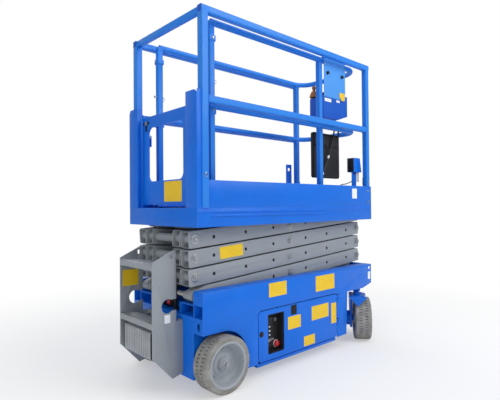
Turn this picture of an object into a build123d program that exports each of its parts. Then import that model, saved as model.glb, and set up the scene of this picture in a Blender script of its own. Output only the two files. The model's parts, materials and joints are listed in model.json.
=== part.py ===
from build123d import *
import os
from math import atan2, cos, hypot, pi, radians, sin, tan

os.makedirs("parts", exist_ok=True)

# Self-propelled slab scissor lift with a roll-out deck extension.
# Frame: +X towards the steered wheels and the platform controls, +Y left, +Z up.
# Origin: on the ground, at the middle of the overall length and width.
# "right" is the -Y side. Lengths in mm, angles in degrees.

SIDES = (("right", -1), ("left", 1))

# ---------------------------------------------------------------- driving sizes
WHEELBASE = 1320.0
OVERALL_W = 810.0
REAR_AXLE_X = -566.0
REAR_OVERHANG = 137.0        # rear axle to the rear of the chassis
FRONT_OVERHANG = 116.0       # front axle to the front of the chassis

TYRE_R = 152.5
TYRE_W = 114.0
TYRE_SHOULDER = 13.0
RIM_R = 124.0

STEER_REST = 40.0            # the front wheels stand turned left by this angle
KINGPIN_INSET = 36.0         # kingpin inside the middle of the tyre
KINGPIN_R = 15.0
STEER_ARM = 100.0            # kingpin to tie rod pin

LEVELS = 4
TUBE_H = 92.0
TUBE_W = 75.0
TUBE_WALL = 5.0
STACK_GAP = 10.0             # between the tubes of neighbouring levels
ARM_GAP = 8.0                # between outer and inner tubes
ARM_END_LEFT = 42.0          # tube beyond the left pins
ARM_END_RIGHT = 22.0
PIN_R = 16.0
BOSS_R = 25.0
PIN_PLAY = 0.5
HEAD_R = 19.0
HEAD_T = 10.0
HOLE_R = 10.5
HOLE_SHARES = (0.084, 0.242, 0.397, 0.603, 0.756, 0.910)
ROLLER_R = 27.0              # rollers on the open ends of the stack
ROLLER_PLAY = 3.0

RAIL_HEIGHT = 1048.0         # top rail above the floor
MID_HEIGHT = 578.0           # mid rail above the floor
TOE_HEIGHT = 150.0
RAIL = 40.0
PLATE = 6.0
SHEET = 4.0

# ---------------------------------------------------------------- derived: lengthwise
FRONT_AXLE_X = REAR_AXLE_X + WHEELBASE
CHASSIS_X0 = REAR_AXLE_X - REAR_OVERHANG
CHASSIS_X1 = FRONT_AXLE_X + FRONT_OVERHANG
PIN_LEFT_X = CHASSIS_X0 + 27.0
PIN_RIGHT_X = CHASSIS_X1 - 37.5
LEVEL_PITCH = TUBE_H + STACK_GAP
ARM_SPAN = hypot(PIN_RIGHT_X - PIN_LEFT_X, LEVEL_PITCH)
SLOPE = atan2(LEVEL_PITCH, PIN_RIGHT_X - PIN_LEFT_X)
CENTRE_X = (PIN_LEFT_X + PIN_RIGHT_X) / 2
WELL_X = FRONT_AXLE_X - 209.0     # rear wall of the front wheel wells
NOSE_X = FRONT_AXLE_X + 4.0
SHELF_X = REAR_AXLE_X + 166.0     # wall behind the rear wheels
TRAY_X0 = REAR_AXLE_X + 251.0
TRAY_X1 = WELL_X - 105.0
HINGE_X = TRAY_X1 + 12.0
LADDER_X0 = CHASSIS_X0 - 187.0
DECK_X0 = CHASSIS_X0 - 29.0
DECK_X1 = CHASSIS_X1 + 20.0
POST_REAR = 44.0                  # section of the rear posts
POST_REAR_X = DECK_X0 + 53.0
POST_FRONT_X = DECK_X1 - 44.0
EXT_X0 = POST_REAR_X + 110.0
EXT_X1 = DECK_X1 - 40.0
EXT_POST_X = {"right": EXT_X1 - 462.0, "left": EXT_X1 - 90.0}     # its front posts
GATE_X = DECK_X0 + 32.0

# ---------------------------------------------------------------- derived: heights
YOKE_Z = 2 * TYRE_R + 13.0
YOKE_T = 14.0
STEER_ARM_Z = YOKE_Z + YOKE_T + 4.0
STEER_ARM_T = 8.0
TIE_Z = STEER_ARM_Z + STEER_ARM_T + 9.0
BOSS_Z = YOKE_Z + 34.0
PAN_Z = YOKE_Z + 82.0
SKIRT_LOW = 84.0
BELLY_Z = 75.0
NOSE_Z = 120.0
BEAM_LOW = PAN_Z - 21.0
ARCH_R = TYRE_R + 19.5
ARCH_TOP = TYRE_R + ARCH_R
TRAY_TOP = PAN_Z - 13.0
PIN_Z0 = PAN_Z + 110.0
CHANNEL_FLOOR = PIN_Z0 - ROLLER_R - ROLLER_PLAY
POCKET_TOP = CHANNEL_FLOOR - 8.0
CHASSIS_TOP = PIN_Z0 + ROLLER_R + ROLLER_PLAY + PLATE
PLATFORM_PIN_Z = PIN_Z0 + LEVELS * LEVEL_PITCH
DECK_CHANNEL_Z = PLATFORM_PIN_Z + ROLLER_R + ROLLER_PLAY
SKIRT_BOTTOM = PLATFORM_PIN_Z - ROLLER_R - ROLLER_PLAY - SHEET
FLOOR_Z = PLATFORM_PIN_Z + 64.0
FLOOR_TOP = FLOOR_Z + SHEET
TOE_TOP = FLOOR_Z + TOE_HEIGHT
RAIL_TOP_Z = FLOOR_Z + RAIL_HEIGHT
RAIL_MID_Z = FLOOR_Z + MID_HEIGHT
PILLAR_TOP = RAIL_MID_Z + 40.0
EXT_FLOOR = FLOOR_TOP + 5.0
EXT_FLOOR_TOP = EXT_FLOOR + SHEET
EXT_TOP_Z = RAIL_TOP_Z - 13.0
EXT_MID_Z = RAIL_MID_Z - 8.0
EXT_TUBE_R = 19.0
EXT_CORNER_R = 120.0
EXT_POST = 36.0

# ---------------------------------------------------------------- derived: widths
TYRE_Y = OVERALL_W / 2 - TYRE_W / 2
KINGPIN_Y = TYRE_Y - KINGPIN_INSET
CHASSIS_Y = OVERALL_W / 2 - 39.0
CORE_Y = OVERALL_W / 2 - TYRE_W - 11.0
SPINE_Y = 70.0
NOSE_Y = 148.0
OUTER_FACE_Y = CHASSIS_Y - 102.0
INNER_FACE_Y = OUTER_FACE_Y - TUBE_W - ARM_GAP
OUTER_Y = OUTER_FACE_Y - TUBE_W / 2
INNER_Y = INNER_FACE_Y - TUBE_W / 2
CHANNEL_Y = OUTER_FACE_Y + HEAD_T + 6.0
ROLLER_Y0 = CHANNEL_Y + PLATE
ROLLER_Y1 = CHASSIS_Y - PLATE - 15.0
LADDER_Y = OVERALL_W / 2 - 223.0
DECK_Y = CHASSIS_Y - 4.0
RAIL_Y = DECK_Y - 14.0
EXT_Y = RAIL_Y - 78.0
EXT_SIDE_Y = RAIL_Y - 26.0
PILLAR_Y = DECK_Y - 100.0
GATE_Y = PILLAR_Y - 8.0

# middle of the overall length, from the ladder to the turned front tyre
TURN = radians(STEER_REST)
TYRE_REACH = TYRE_R * cos(TURN) + (TYRE_W / 2 - TYRE_SHOULDER) * sin(TURN)
ORIGIN_X = (LADDER_X0 + FRONT_AXLE_X + KINGPIN_INSET * sin(TURN) + TYRE_REACH) / 2


def save(shape, name):
    shape = shape.moved(Location((-ORIGIN_X, 0, 0)))
    shape.label = name
    export_step(shape, "parts/" + name + ".step")


# ---------------------------------------------------------------- small helpers
def slab(x0, x1, y0, y1, z0, z1):
    """A plate between two corners, added to the part in hand."""
    with BuildSketch(Plane.XY.offset(z0)) as foot:
        with Locations(((x0 + x1) / 2, (y0 + y1) / 2)):
            Rectangle(abs(x1 - x0), abs(y1 - y0))
    extrude(foot.sketch, amount=z1 - z0)


def side_plane(y):
    """Plane facing -Y with its X along +X and its Y up."""
    return Plane(origin=(0, y, 0), x_dir=(1, 0, 0), z_dir=(0, -1, 0))


def cross_disc(x, z, radius, y0, y1, mode=Mode.ADD):
    """A round bar along Y between y0 and y1, added to or cut from the part in hand."""
    with BuildSketch(side_plane(min(y0, y1))) as face:
        with Locations((x, z)):
            Circle(radius)
    extrude(face.sketch, amount=-abs(y1 - y0), mode=mode)


def post(x, y, radius, z0, z1, mode=Mode.ADD):
    """A round bar along Z between z0 and z1, added to or cut from the part in hand."""
    with BuildSketch(Plane.XY.offset(z0)) as face:
        with Locations((x, y)):
            Circle(radius)
    extrude(face.sketch, amount=z1 - z0, mode=mode)


# ---------------------------------------------------------------- scissor arms
HALF = ARM_SPAN / 2
END_CHAMFER = 8.0
NOSE_R = 26.0
NOSE_START = 70.0            # where the lowest outer arm starts to narrow

# lift cylinder eyes: along and across the inner arms of these levels, from their centres
CYL_MOUNTS = {1: (-600.0, -60.0), 3: (500.0, 80.0)}
LUG_R = 32.0
LUG_T = 12.0


def arm_plane(level, outer):
    """Plane through an arm's middle: X along it, Y up across it, Z towards -Y."""
    slope = SLOPE if outer else -SLOPE
    mid_z = PIN_Z0 + (level - 0.5) * LEVEL_PITCH
    return Plane(origin=(CENTRE_X, 0, mid_z), x_dir=(cos(slope), 0, sin(slope)), z_dir=(0, -1, 0))


def arm_bar(plane, spots, radius, y0, y1, mode=Mode.ADD):
    """Round bars across an arm at the given places, between y0 and y1."""
    with BuildSketch(plane.offset(-max(y0, y1))) as face:
        with Locations(*spots):
            Circle(radius)
    extrude(face.sketch, amount=abs(y1 - y0), mode=mode)


def arm_outline(level, outer):
    """Side view of one arm tube: square ends, a nose or a round end where it must swing clear."""
    top = TUBE_H / 2
    right = HALF + ARM_END_RIGHT
    left = -HALF - ARM_END_LEFT
    c = END_CHAMFER
    right_end = [(right, c - top), (right, top - c), (right - c, top)]
    if outer and level == 1:
        left_end = [(-HALF + NOSE_START, top), (-HALF - 10, NOSE_R), (-HALF - NOSE_R, 10),
                    (-HALF - NOSE_R, -10), (-HALF - 10, -NOSE_R), (-HALF + NOSE_START, -top)]
    elif not outer and level == LEVELS:
        left_end = [(-HALF - top * cos(radians(a)), top * sin(radians(a))) for a in range(90, -91, -15)]
    else:
        left_end = [(left + c, top), (left, top - c), (left, c - top), (left + c, -top)]
    return right_end + left_end + [(right - c, -top)]


def add_arm_tubes(level, outer):
    """Two parallel box tubes of one arm, with open ends and bosses, in the part in hand."""
    plane = arm_plane(level, outer)
    y_mid = OUTER_Y if outer else INNER_Y
    bore_start = -HALF + NOSE_START if outer and level == 1 else -HALF - ARM_END_LEFT - 10
    bore_end = HALF + ARM_END_RIGHT + 10
    for side in (-1, 1):
        near = plane.offset(-side * y_mid - TUBE_W / 2)
        with BuildSketch(near) as outline:
            with BuildLine():
                Polyline(*arm_outline(level, outer), close=True)
            make_face()
        extrude(outline.sketch, amount=TUBE_W)
        with BuildSketch(near.offset(TUBE_WALL)) as bore:
            with Locations(((bore_start + bore_end) / 2, 0)):
                Rectangle(bore_end - bore_start, TUBE_H - 2 * TUBE_WALL)
        extrude(bore.sketch, amount=TUBE_W - 2 * TUBE_WALL, mode=Mode.SUBTRACT)
        if outer:
            with BuildSketch(near) as holes:
                with Locations(*[(-HALF + ARM_SPAN * share, 0) for share in HOLE_SHARES]):
                    Circle(HOLE_R)
            extrude(holes.sketch, amount=TUBE_W, mode=Mode.SUBTRACT)
        with BuildSketch(near) as bosses:
            with Locations((-HALF, 0), (0, 0), (HALF, 0)):
                Circle(BOSS_R)
        extrude(bosses.sketch, amount=TUBE_W)
    return plane


for level in range(1, LEVELS + 1):
    first = level == 1
    last = level == LEVELS
    with BuildPart() as outer_arm:
        plane = add_arm_tubes(level, True)
        # through shafts at both ends, carried by the outer tubes
        left_y = CHANNEL_Y + 16 if first else OUTER_FACE_Y
        right_y = ROLLER_Y1 if last else OUTER_FACE_Y
        arm_bar(plane, [(-HALF, 0)], PIN_R, -left_y, left_y)
        arm_bar(plane, [(HALF, 0)], PIN_R, -right_y, right_y)
        heads = [(0, 0)] + ([] if first else [(-HALF, 0)]) + ([] if last else [(HALF, 0)])
        for name, side in SIDES:
            # centre stub shafts and the bolted heads on the outer faces
            arm_bar(plane, [(0, 0)], PIN_R, side * (INNER_FACE_Y - TUBE_W), side * OUTER_FACE_Y)
            with BuildSketch(plane.offset(OUTER_FACE_Y if side < 0 else -OUTER_FACE_Y - HEAD_T)) as nuts:
                with Locations(*heads):
                    RegularPolygon(HEAD_R, 6)
            extrude(nuts.sketch, amount=HEAD_T)
            if first:
                # collars on the pivot shaft
                arm_bar(plane, [(-HALF, 0)], PIN_R + 7, side * (OUTER_FACE_Y - TUBE_W - 14),
                        side * (OUTER_FACE_Y - TUBE_W))
            if last:
                arm_bar(plane, [(HALF, 0)], ROLLER_R, side * ROLLER_Y0, side * ROLLER_Y1)
    save(outer_arm.part, "outer_arm_%d" % level)

for level in range(1, LEVELS + 1):
    with BuildPart() as inner_arm:
        plane = add_arm_tubes(level, False)
        # cross tubes at both ends, bored for the outer arms' shafts
        arm_bar(plane, [(-HALF, 0), (HALF, 0)], BOSS_R, -INNER_FACE_Y, INNER_FACE_Y)
        arm_bar(plane, [(-HALF, 0), (0, 0), (HALF, 0)], PIN_R + PIN_PLAY, -INNER_FACE_Y - 1,
                INNER_FACE_Y + 1, mode=Mode.SUBTRACT)
        if level == 1:
            # shaft with the chassis rollers
            arm_bar(plane, [(HALF, 0)], PIN_R + PIN_PLAY, -ROLLER_Y1, ROLLER_Y1)
            for name, side in SIDES:
                arm_bar(plane, [(HALF, 0)], ROLLER_R, side * ROLLER_Y0, side * ROLLER_Y1)
        if level in CYL_MOUNTS:
            # lugs and cross pin of the lift cylinder
            along, across = CYL_MOUNTS[level]
            lug_face = INNER_FACE_Y - TUBE_W
            for name, side in SIDES:
                with BuildSketch(plane.offset(-side * (lug_face - LUG_T / 2) - LUG_T / 2)) as lug:
                    with Locations((along, across / 2)):
                        Rectangle(2 * LUG_R, abs(across))
                    with Locations((along, across)):
                        Circle(LUG_R)
                extrude(lug.sketch, amount=LUG_T)
            arm_bar(plane, [(along, across)], PIN_R, -lug_face, lug_face)
    save(inner_arm.part, "inner_arm_%d" % level)


# ---------------------------------------------------------------- chassis
HINGE_PIN_R = 8.0
HINGE_KNUCKLE = 22.0         # height of a tray hinge knuckle
HINGE_LOWS = (TRAY_TOP - 204.0, TRAY_TOP - 37.0)
TRAY_MID_X = (TRAY_X0 + TRAY_X1) / 2
TRAY_OPEN_LOW = SKIRT_LOW - 20.0
TRAY_CORNER = 28.0
ARCH_MEETS_X = REAR_AXLE_X + (ARCH_R ** 2 - (TYRE_R - SKIRT_LOW) ** 2) ** 0.5
ARCH_MID = radians(40)
TIE_DOWN_R = 13.0
TIE_DOWN_X = CHASSIS_X1 - 24.0
TIE_DOWN_Z = CHASSIS_TOP - 26.0
POCKET_Y = 150.0
POCKET_DEPTH = 63.0
GUARD_Y = 230.0              # pivot of the pothole guards
GUARD_Z = 72.0
GUARD_ROD_R = 8.0

for name, side in SIDES:
    outer_plane = side_plane(-CHASSIS_Y if side < 0 else CHASSIS_Y - PLATE)
    with BuildPart() as side_plate:
        # outline with the rear wheel arch and the raked nose
        with BuildSketch(outer_plane):
            with BuildLine():
                Polyline((ARCH_MEETS_X, SKIRT_LOW), (WELL_X, SKIRT_LOW), (WELL_X + 18, BEAM_LOW),
                         (NOSE_X, BEAM_LOW), (CHASSIS_X1, BEAM_LOW + 27), (CHASSIS_X1, CHASSIS_TOP),
                         (CHASSIS_X0, CHASSIS_TOP), (CHASSIS_X0, ARCH_TOP), (REAR_AXLE_X, ARCH_TOP))
                ThreePointArc((REAR_AXLE_X, ARCH_TOP),
                              (REAR_AXLE_X + ARCH_R * cos(ARCH_MID), TYRE_R + ARCH_R * sin(ARCH_MID)),
                              (ARCH_MEETS_X, SKIRT_LOW))
            make_face()
            # tray opening with its hinge notches, tie-down hole
            with Locations((TRAY_MID_X, (TRAY_OPEN_LOW + TRAY_TOP) / 2)):
                RectangleRounded(TRAY_X1 - TRAY_X0, TRAY_TOP - TRAY_OPEN_LOW, TRAY_CORNER, mode=Mode.SUBTRACT)
            with Locations(*[(HINGE_X - 4, z + HINGE_KNUCKLE / 2) for z in HINGE_LOWS]):
                Rectangle(32, HINGE_KNUCKLE + 12, mode=Mode.SUBTRACT)
            with Locations((TIE_DOWN_X, TIE_DOWN_Z)):
                Circle(TIE_DOWN_R, mode=Mode.SUBTRACT)
        extrude(amount=-PLATE)
    save(side_plate.part, "side_plate_" + name)

    inside = CHASSIS_Y - PLATE
    with BuildPart() as channel:
        # channel of the lower rollers
        slab(CHASSIS_X0, CHASSIS_X1, side * CHANNEL_Y, side * inside, CHASSIS_TOP - PLATE, CHASSIS_TOP)
        slab(CHASSIS_X0, CHASSIS_X1, side * CHANNEL_Y, side * inside, CHANNEL_FLOOR - PLATE, CHANNEL_FLOOR)
        slab(CHASSIS_X0, CHASSIS_X1, side * CHANNEL_Y, side * (CHANNEL_Y + PLATE), PAN_Z + PLATE,
             CHANNEL_FLOOR)
        # closed rear end with the bearing of the pivot shaft
        slab(CHASSIS_X0, CHASSIS_X0 + PLATE, side * CHANNEL_Y, side * inside, CHANNEL_FLOOR - PLATE,
             CHASSIS_TOP)
        slab(CHASSIS_X0, PIN_LEFT_X + 45, side * CHANNEL_Y, side * (CHANNEL_Y + 14), CHANNEL_FLOOR,
             CHASSIS_TOP)
        cross_disc(PIN_LEFT_X, PIN_Z0, PIN_R + PIN_PLAY, side * (CHANNEL_Y - 2), side * (CHANNEL_Y + 17),
                   mode=Mode.SUBTRACT)
        # pocket below the channel, open to the rear
        slab(CHASSIS_X0, CHASSIS_X0 + POCKET_DEPTH, side * POCKET_Y, side * (CHANNEL_Y + PLATE),
             POCKET_TOP - PLATE, POCKET_TOP)
        slab(CHASSIS_X0, CHASSIS_X0 + POCKET_DEPTH, side * POCKET_Y, side * (POCKET_Y + PLATE),
             PAN_Z + PLATE, POCKET_TOP)
    save(channel.part, "slide_channel_" + name)

with BuildPart() as pan:
    # pan under the stack with the front cross plate and the kingpin bosses
    inside = CHASSIS_Y - PLATE
    slab(CHASSIS_X0, CHASSIS_X1, -inside, inside, PAN_Z, PAN_Z + PLATE)
    slab(CHASSIS_X1 - PLATE, CHASSIS_X1, -CHANNEL_Y, CHANNEL_Y, PAN_Z, CHASSIS_TOP)
    for name, side in SIDES:
        post(FRONT_AXLE_X, side * KINGPIN_Y, KINGPIN_R + 13, BOSS_Z, PAN_Z + PLATE)
        post(FRONT_AXLE_X, side * KINGPIN_Y, KINGPIN_R + 0.5, BOSS_Z, PAN_Z, mode=Mode.SUBTRACT)
        slab(WELL_X + 40, CHASSIS_X1 - 40, side * (inside - 30), side * (inside - 24), BEAM_LOW + 4, PAN_Z)
save(pan.part, "chassis_pan")

with BuildPart() as underframe:
    inside = CHASSIS_Y - PLATE
    for name, side in SIDES:
        # inner walls of the rear wheel wells, walls behind and ahead of the trays
        slab(CHASSIS_X0, SHELF_X, side * (CORE_Y - PLATE), side * CORE_Y, BELLY_Z, PAN_Z)
        slab(SHELF_X - PLATE, SHELF_X, side * SPINE_Y, side * inside, SKIRT_LOW, PAN_Z)
        slab(WELL_X - PLATE, WELL_X, side * SPINE_Y, side * inside, SKIRT_LOW, PAN_Z)
        # spine and nose walls
        slab(SHELF_X - PLATE, WELL_X, side * (SPINE_Y - PLATE), side * SPINE_Y, BELLY_Z, PAN_Z)
        slab(WELL_X - PLATE, NOSE_X, side * (NOSE_Y - PLATE), side * NOSE_Y, NOSE_Z, PAN_Z)
        # rear plate beside the ladder with its tie-down slot
        slab(CHASSIS_X0, CHASSIS_X0 + PLATE, side * (CORE_Y - PLATE), side * inside, ARCH_TOP, PAN_Z)
        # stub axle of the rear wheel
        cross_disc(REAR_AXLE_X, TYRE_R, 20, side * (CORE_Y - PLATE), side * (CORE_Y + 70))
        # hangers of the pothole guard
        for x0 in (TRAY_X0 - 20, TRAY_X1 + 22):
            slab(x0, x0 + 8, side * (GUARD_Y - 15), side * (GUARD_Y + 20), GUARD_Z - 12, SKIRT_LOW + 30)
            slab(x0, x0 + 8, side * SPINE_Y, side * (GUARD_Y + 70), SKIRT_LOW, SKIRT_LOW + 30)
    # belly and end plates
    slab(CHASSIS_X0, SHELF_X, -CORE_Y, CORE_Y, BELLY_Z, BELLY_Z + PLATE)
    slab(SHELF_X - PLATE, WELL_X, -SPINE_Y, SPINE_Y, BELLY_Z, BELLY_Z + PLATE)
    slab(WELL_X - PLATE, WELL_X, -SPINE_Y, SPINE_Y, BELLY_Z, NOSE_Z + PLATE)
    slab(WELL_X - PLATE, NOSE_X, -NOSE_Y, NOSE_Y, NOSE_Z, NOSE_Z + PLATE)
    slab(NOSE_X - PLATE, NOSE_X, -NOSE_Y, NOSE_Y, NOSE_Z, PAN_Z)
    slab(CHASSIS_X0, CHASSIS_X0 + PLATE, -CORE_Y, CORE_Y, BELLY_Z, PAN_Z)
    # holes for the guards' rods
    with BuildSketch(Plane.YZ.offset(TRAY_X0 - 30)) as rod_holes:
        with Locations((-GUARD_Y, GUARD_Z), (GUARD_Y, GUARD_Z)):
            Circle(GUARD_ROD_R + 0.5)
    extrude(rod_holes.sketch, amount=TRAY_X1 - TRAY_X0 + 80, mode=Mode.SUBTRACT)
    # tie-down slots
    with BuildSketch(Plane.YZ.offset(CHASSIS_X0 - 1)) as slots:
        with Locations((-(CHASSIS_Y - 41), ARCH_TOP + 37), (CHASSIS_Y - 41, ARCH_TOP + 37)):
            SlotOverall(40, 24, rotation=90)
    extrude(slots.sketch, amount=PLATE + 2, mode=Mode.SUBTRACT)
save(underframe.part, "underframe")

# ---------------------------------------------------------------- ladder and charger
LADDER_LOW = BELLY_Z + 1.0
LADDER_TOP = PLATFORM_PIN_Z - 161.0
LADDER_FRONT = CHASSIS_X0 - 42.0
LADDER_NECK = TRAY_TOP - 9.0       # top of the part that reaches the chassis
LADDER_R = 38.0                    # hand hole
LADDER_HOLE = (LADDER_X0 + 93, PIN_Z0 - 45)
STEP_T = 4.0
STEPS = ((PLATFORM_PIN_Z - 228.0, 95.0), (TRAY_TOP - 3.0, 85.0))   # height, depth
SHELF_Z = SKIRT_LOW + 106.0
FLANGE_X = CHASSIS_X0 - PLATE

with BuildPart() as ladder:
    for name, side in SIDES:
        with BuildSketch(side_plane(-LADDER_Y if side < 0 else LADDER_Y - PLATE)) as cheek:
            with BuildLine():
                Polyline((LADDER_X0, LADDER_LOW + 131), (LADDER_X0, LADDER_TOP - 55),
                         (LADDER_X0 + 122, LADDER_TOP), (LADDER_FRONT, LADDER_TOP),
                         (LADDER_FRONT, LADDER_NECK), (FLANGE_X, LADDER_NECK),
                         (FLANGE_X, LADDER_LOW + 14), (LADDER_X0 + 120, LADDER_LOW), close=True)
            make_face()
            with Locations(LADDER_HOLE):
                Circle(LADDER_R, mode=Mode.SUBTRACT)
            with Locations((LADDER_HOLE[0] + 36, LADDER_HOLE[1] + 3)):
                Rectangle(72, 60, mode=Mode.SUBTRACT)
            with Locations((LADDER_X0 + 118, LADDER_TOP - 30)):
                SlotOverall(26, 14, rotation=90, mode=Mode.SUBTRACT)
        extrude(cheek.sketch, amount=-PLATE)
        # bolted flange on the chassis
        slab(FLANGE_X, CHASSIS_X0, side * (LADDER_Y - 40), side * LADDER_Y, LADDER_LOW + 14, LADDER_NECK)
    # folded treads
    for z, depth in STEPS:
        with BuildSketch(Plane.XZ.offset(-(LADDER_Y - PLATE))) as tread:
            with BuildLine():
                Polyline((LADDER_X0, z), (LADDER_X0 + depth, z), (LADDER_X0 + depth, z - 25),
                         (LADDER_X0 + depth - STEP_T, z - 25), (LADDER_X0 + depth - STEP_T, z - STEP_T),
                         (LADDER_X0 + STEP_T, z - STEP_T), (LADDER_X0 + STEP_T, z - 30),
                         (LADDER_X0, z - 30), close=True)
            make_face()
        extrude(tread.sketch, amount=2 * (LADDER_Y - PLATE))
    # shelf for the charger
    slab(LADDER_X0 + 20, FLANGE_X, -LADDER_Y + PLATE, LADDER_Y - PLATE, SHELF_Z - PLATE, SHELF_Z)
save(ladder.part, "ladder")

CHARGER = (140.0, 2 * (LADDER_Y - PLATE - 36.0), 140.0)
FIN_T = 5.0
FIN_DEEP = 12.0
FINS = 15
with BuildPart() as charger:
    mid_x = LADDER_X0 + 10 + CHARGER[0] / 2
    slab(mid_x - CHARGER[0] / 2 + FIN_DEEP, mid_x + CHARGER[0] / 2, -CHARGER[1] / 2, CHARGER[1] / 2,
         SHELF_Z, SHELF_Z + CHARGER[2] - FIN_DEEP)
    pitch = (CHARGER[1] - FIN_T) / (FINS - 1)
    for i in range(FINS):
        y0 = -CHARGER[1] / 2 + i * pitch
        slab(mid_x - CHARGER[0] / 2, mid_x + CHARGER[0] / 2, y0, y0 + FIN_T, SHELF_Z, SHELF_Z + CHARGER[2])
save(charger.part, "battery_charger")

# ---------------------------------------------------------------- swing-out trays
TRAY_GAP = 5.0
TRAY_FLOOR_Z = SKIRT_LOW + 10.0
TRAY_IN_Y = 96.0
RECESS_X = TRAY_X0 + 150.0         # middle of the ground controls
RECESS_Z = (SKIRT_LOW + TRAY_TOP) / 2 + 1.5
RECESS = (132.0, 226.0)
RECESS_DEEP = 50.0
UNIT_X0 = TRAY_X0 + 295.0
UNIT_X1 = TRAY_X1 - 60.0
UNIT_Y0 = CHASSIS_Y - 256.0
UNIT_Y1 = CHASSIS_Y - 26.0
UNIT_Z0 = TRAY_FLOOR_Z + PLATE

for name, side in SIDES:
    with BuildPart() as tray:
        # door skin
        with BuildSketch(side_plane(-CHASSIS_Y if side < 0 else CHASSIS_Y - PLATE)) as skin:
            with Locations((TRAY_MID_X, (SKIRT_LOW + TRAY_TOP) / 2)):
                RectangleRounded(TRAY_X1 - TRAY_X0 - 2 * TRAY_GAP, TRAY_TOP - SKIRT_LOW - 2 * TRAY_GAP,
                                 TRAY_CORNER - TRAY_GAP)
            if side < 0:
                # opening of the ground controls
                with Locations((RECESS_X, RECESS_Z)):
                    RectangleRounded(*RECESS, 6, mode=Mode.SUBTRACT)
        extrude(skin.sketch, amount=-PLATE)
        # tray floor with its cut-back corner
        with BuildSketch(Plane.XY.offset(TRAY_FLOOR_Z)) as floor:
            with BuildLine():
                Polyline((TRAY_X0 + 12, side * (CHASSIS_Y - 3)), (TRAY_X1 - 12, side * (CHASSIS_Y - 3)),
                         (TRAY_X1 - 12, side * TRAY_IN_Y), (TRAY_X0 + 80, side * TRAY_IN_Y),
                         (TRAY_X0 + 12, side * (CHASSIS_Y - 36)), close=True)
            make_face()
        extrude(floor.sketch, amount=PLATE)
        # hinge knuckles with their leaves
        for z in HINGE_LOWS:
            post(HINGE_X, side * CHASSIS_Y, HINGE_PIN_R, z, z + HINGE_KNUCKLE)
            slab(HINGE_X - 24, HINGE_X, side * (CHASSIS_Y - PLATE), side * CHASSIS_Y, z, z + HINGE_KNUCKLE)
    save(tray.part, "control_tray" if side < 0 else "battery_tray")

with BuildPart() as ground_controls:
    w, h = RECESS
    with BuildSketch(side_plane(-CHASSIS_Y + PLATE)) as shell:
        with Locations((RECESS_X, RECESS_Z)):
            Rectangle(w + 18, h + 18)
    extrude(shell.sketch, amount=-RECESS_DEEP - 10)
    with BuildSketch(side_plane(-CHASSIS_Y + PLATE - 1)) as hollow:
        with Locations((RECESS_X, RECESS_Z)):
            Rectangle(w, h)
    extrude(hollow.sketch, amount=-RECESS_DEEP, mode=Mode.SUBTRACT)
save(ground_controls.part, "ground_controls")

with BuildPart() as power_unit:
    # oil tank, electric motor with its pump, valve block
    mid_y = -(UNIT_Y0 + UNIT_Y1) / 2
    slab(UNIT_X0, UNIT_X1, -UNIT_Y1, -UNIT_Y0, UNIT_Z0, UNIT_Z0 + 12)
    slab(UNIT_X0, UNIT_X0 + 170, mid_y - 100, mid_y + 100, UNIT_Z0, UNIT_Z0 + 190)
    with BuildSketch(Plane.YZ.offset(UNIT_X0 + 170)) as motor:
        with Locations((mid_y, UNIT_Z0 + 90)):
            Circle(62)
    extrude(motor.sketch, amount=UNIT_X1 - UNIT_X0 - 190)
    slab(UNIT_X0 + 20, UNIT_X0 + 130, mid_y - 60, mid_y + 20, UNIT_Z0 + 180, UNIT_Z0 + 235)
save(power_unit.part, "power_unit")

with BuildPart() as battery_pack:
    # four batteries in two rows, held by a bar
    slab(UNIT_X0, UNIT_X1, UNIT_Y0, UNIT_Y1, UNIT_Z0, UNIT_Z0 + 10)
    cell_x = (UNIT_X1 - UNIT_X0 - 12) / 2
    cell_y = (UNIT_Y1 - UNIT_Y0 - 8) / 2
    for i in (0, 1):
        for j in (0, 1):
            x0 = UNIT_X0 + i * (cell_x + 12)
            y0 = UNIT_Y0 + j * (cell_y + 8)
            slab(x0, x0 + cell_x, y0, y0 + cell_y, UNIT_Z0, UNIT_Z0 + 225)
    slab(UNIT_X0, UNIT_X1, (UNIT_Y0 + UNIT_Y1) / 2 - 15, (UNIT_Y0 + UNIT_Y1) / 2 + 15,
         UNIT_Z0 + 220, UNIT_Z0 + 232)
save(battery_pack.part, "battery_pack")

# ---------------------------------------------------------------- pothole guards
for name, side in SIDES:
    with BuildPart() as guard:
        with BuildSketch(Plane.YZ.offset(TRAY_X0 - 26)) as rod:
            with Locations((side * GUARD_Y, GUARD_Z)):
                Circle(GUARD_ROD_R)
        extrude(rod.sketch, amount=TRAY_X1 - TRAY_X0 + 62)
        for x in (TRAY_X0 + 30, TRAY_MID_X, TRAY_X1 - 30):
            slab(x - 15, x + 15, side * (GUARD_Y - 8), side * (GUARD_Y + 100), GUARD_Z - 4, GUARD_Z + 4)
        slab(TRAY_X0 + 5, TRAY_X1 - 5, side * (GUARD_Y + 92), side * (GUARD_Y + 122), GUARD_Z - 12,
             GUARD_Z + 6)
    save(guard.part, "pothole_guard_" + name)

# ---------------------------------------------------------------- wheels
STUB_R = 20.0


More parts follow.
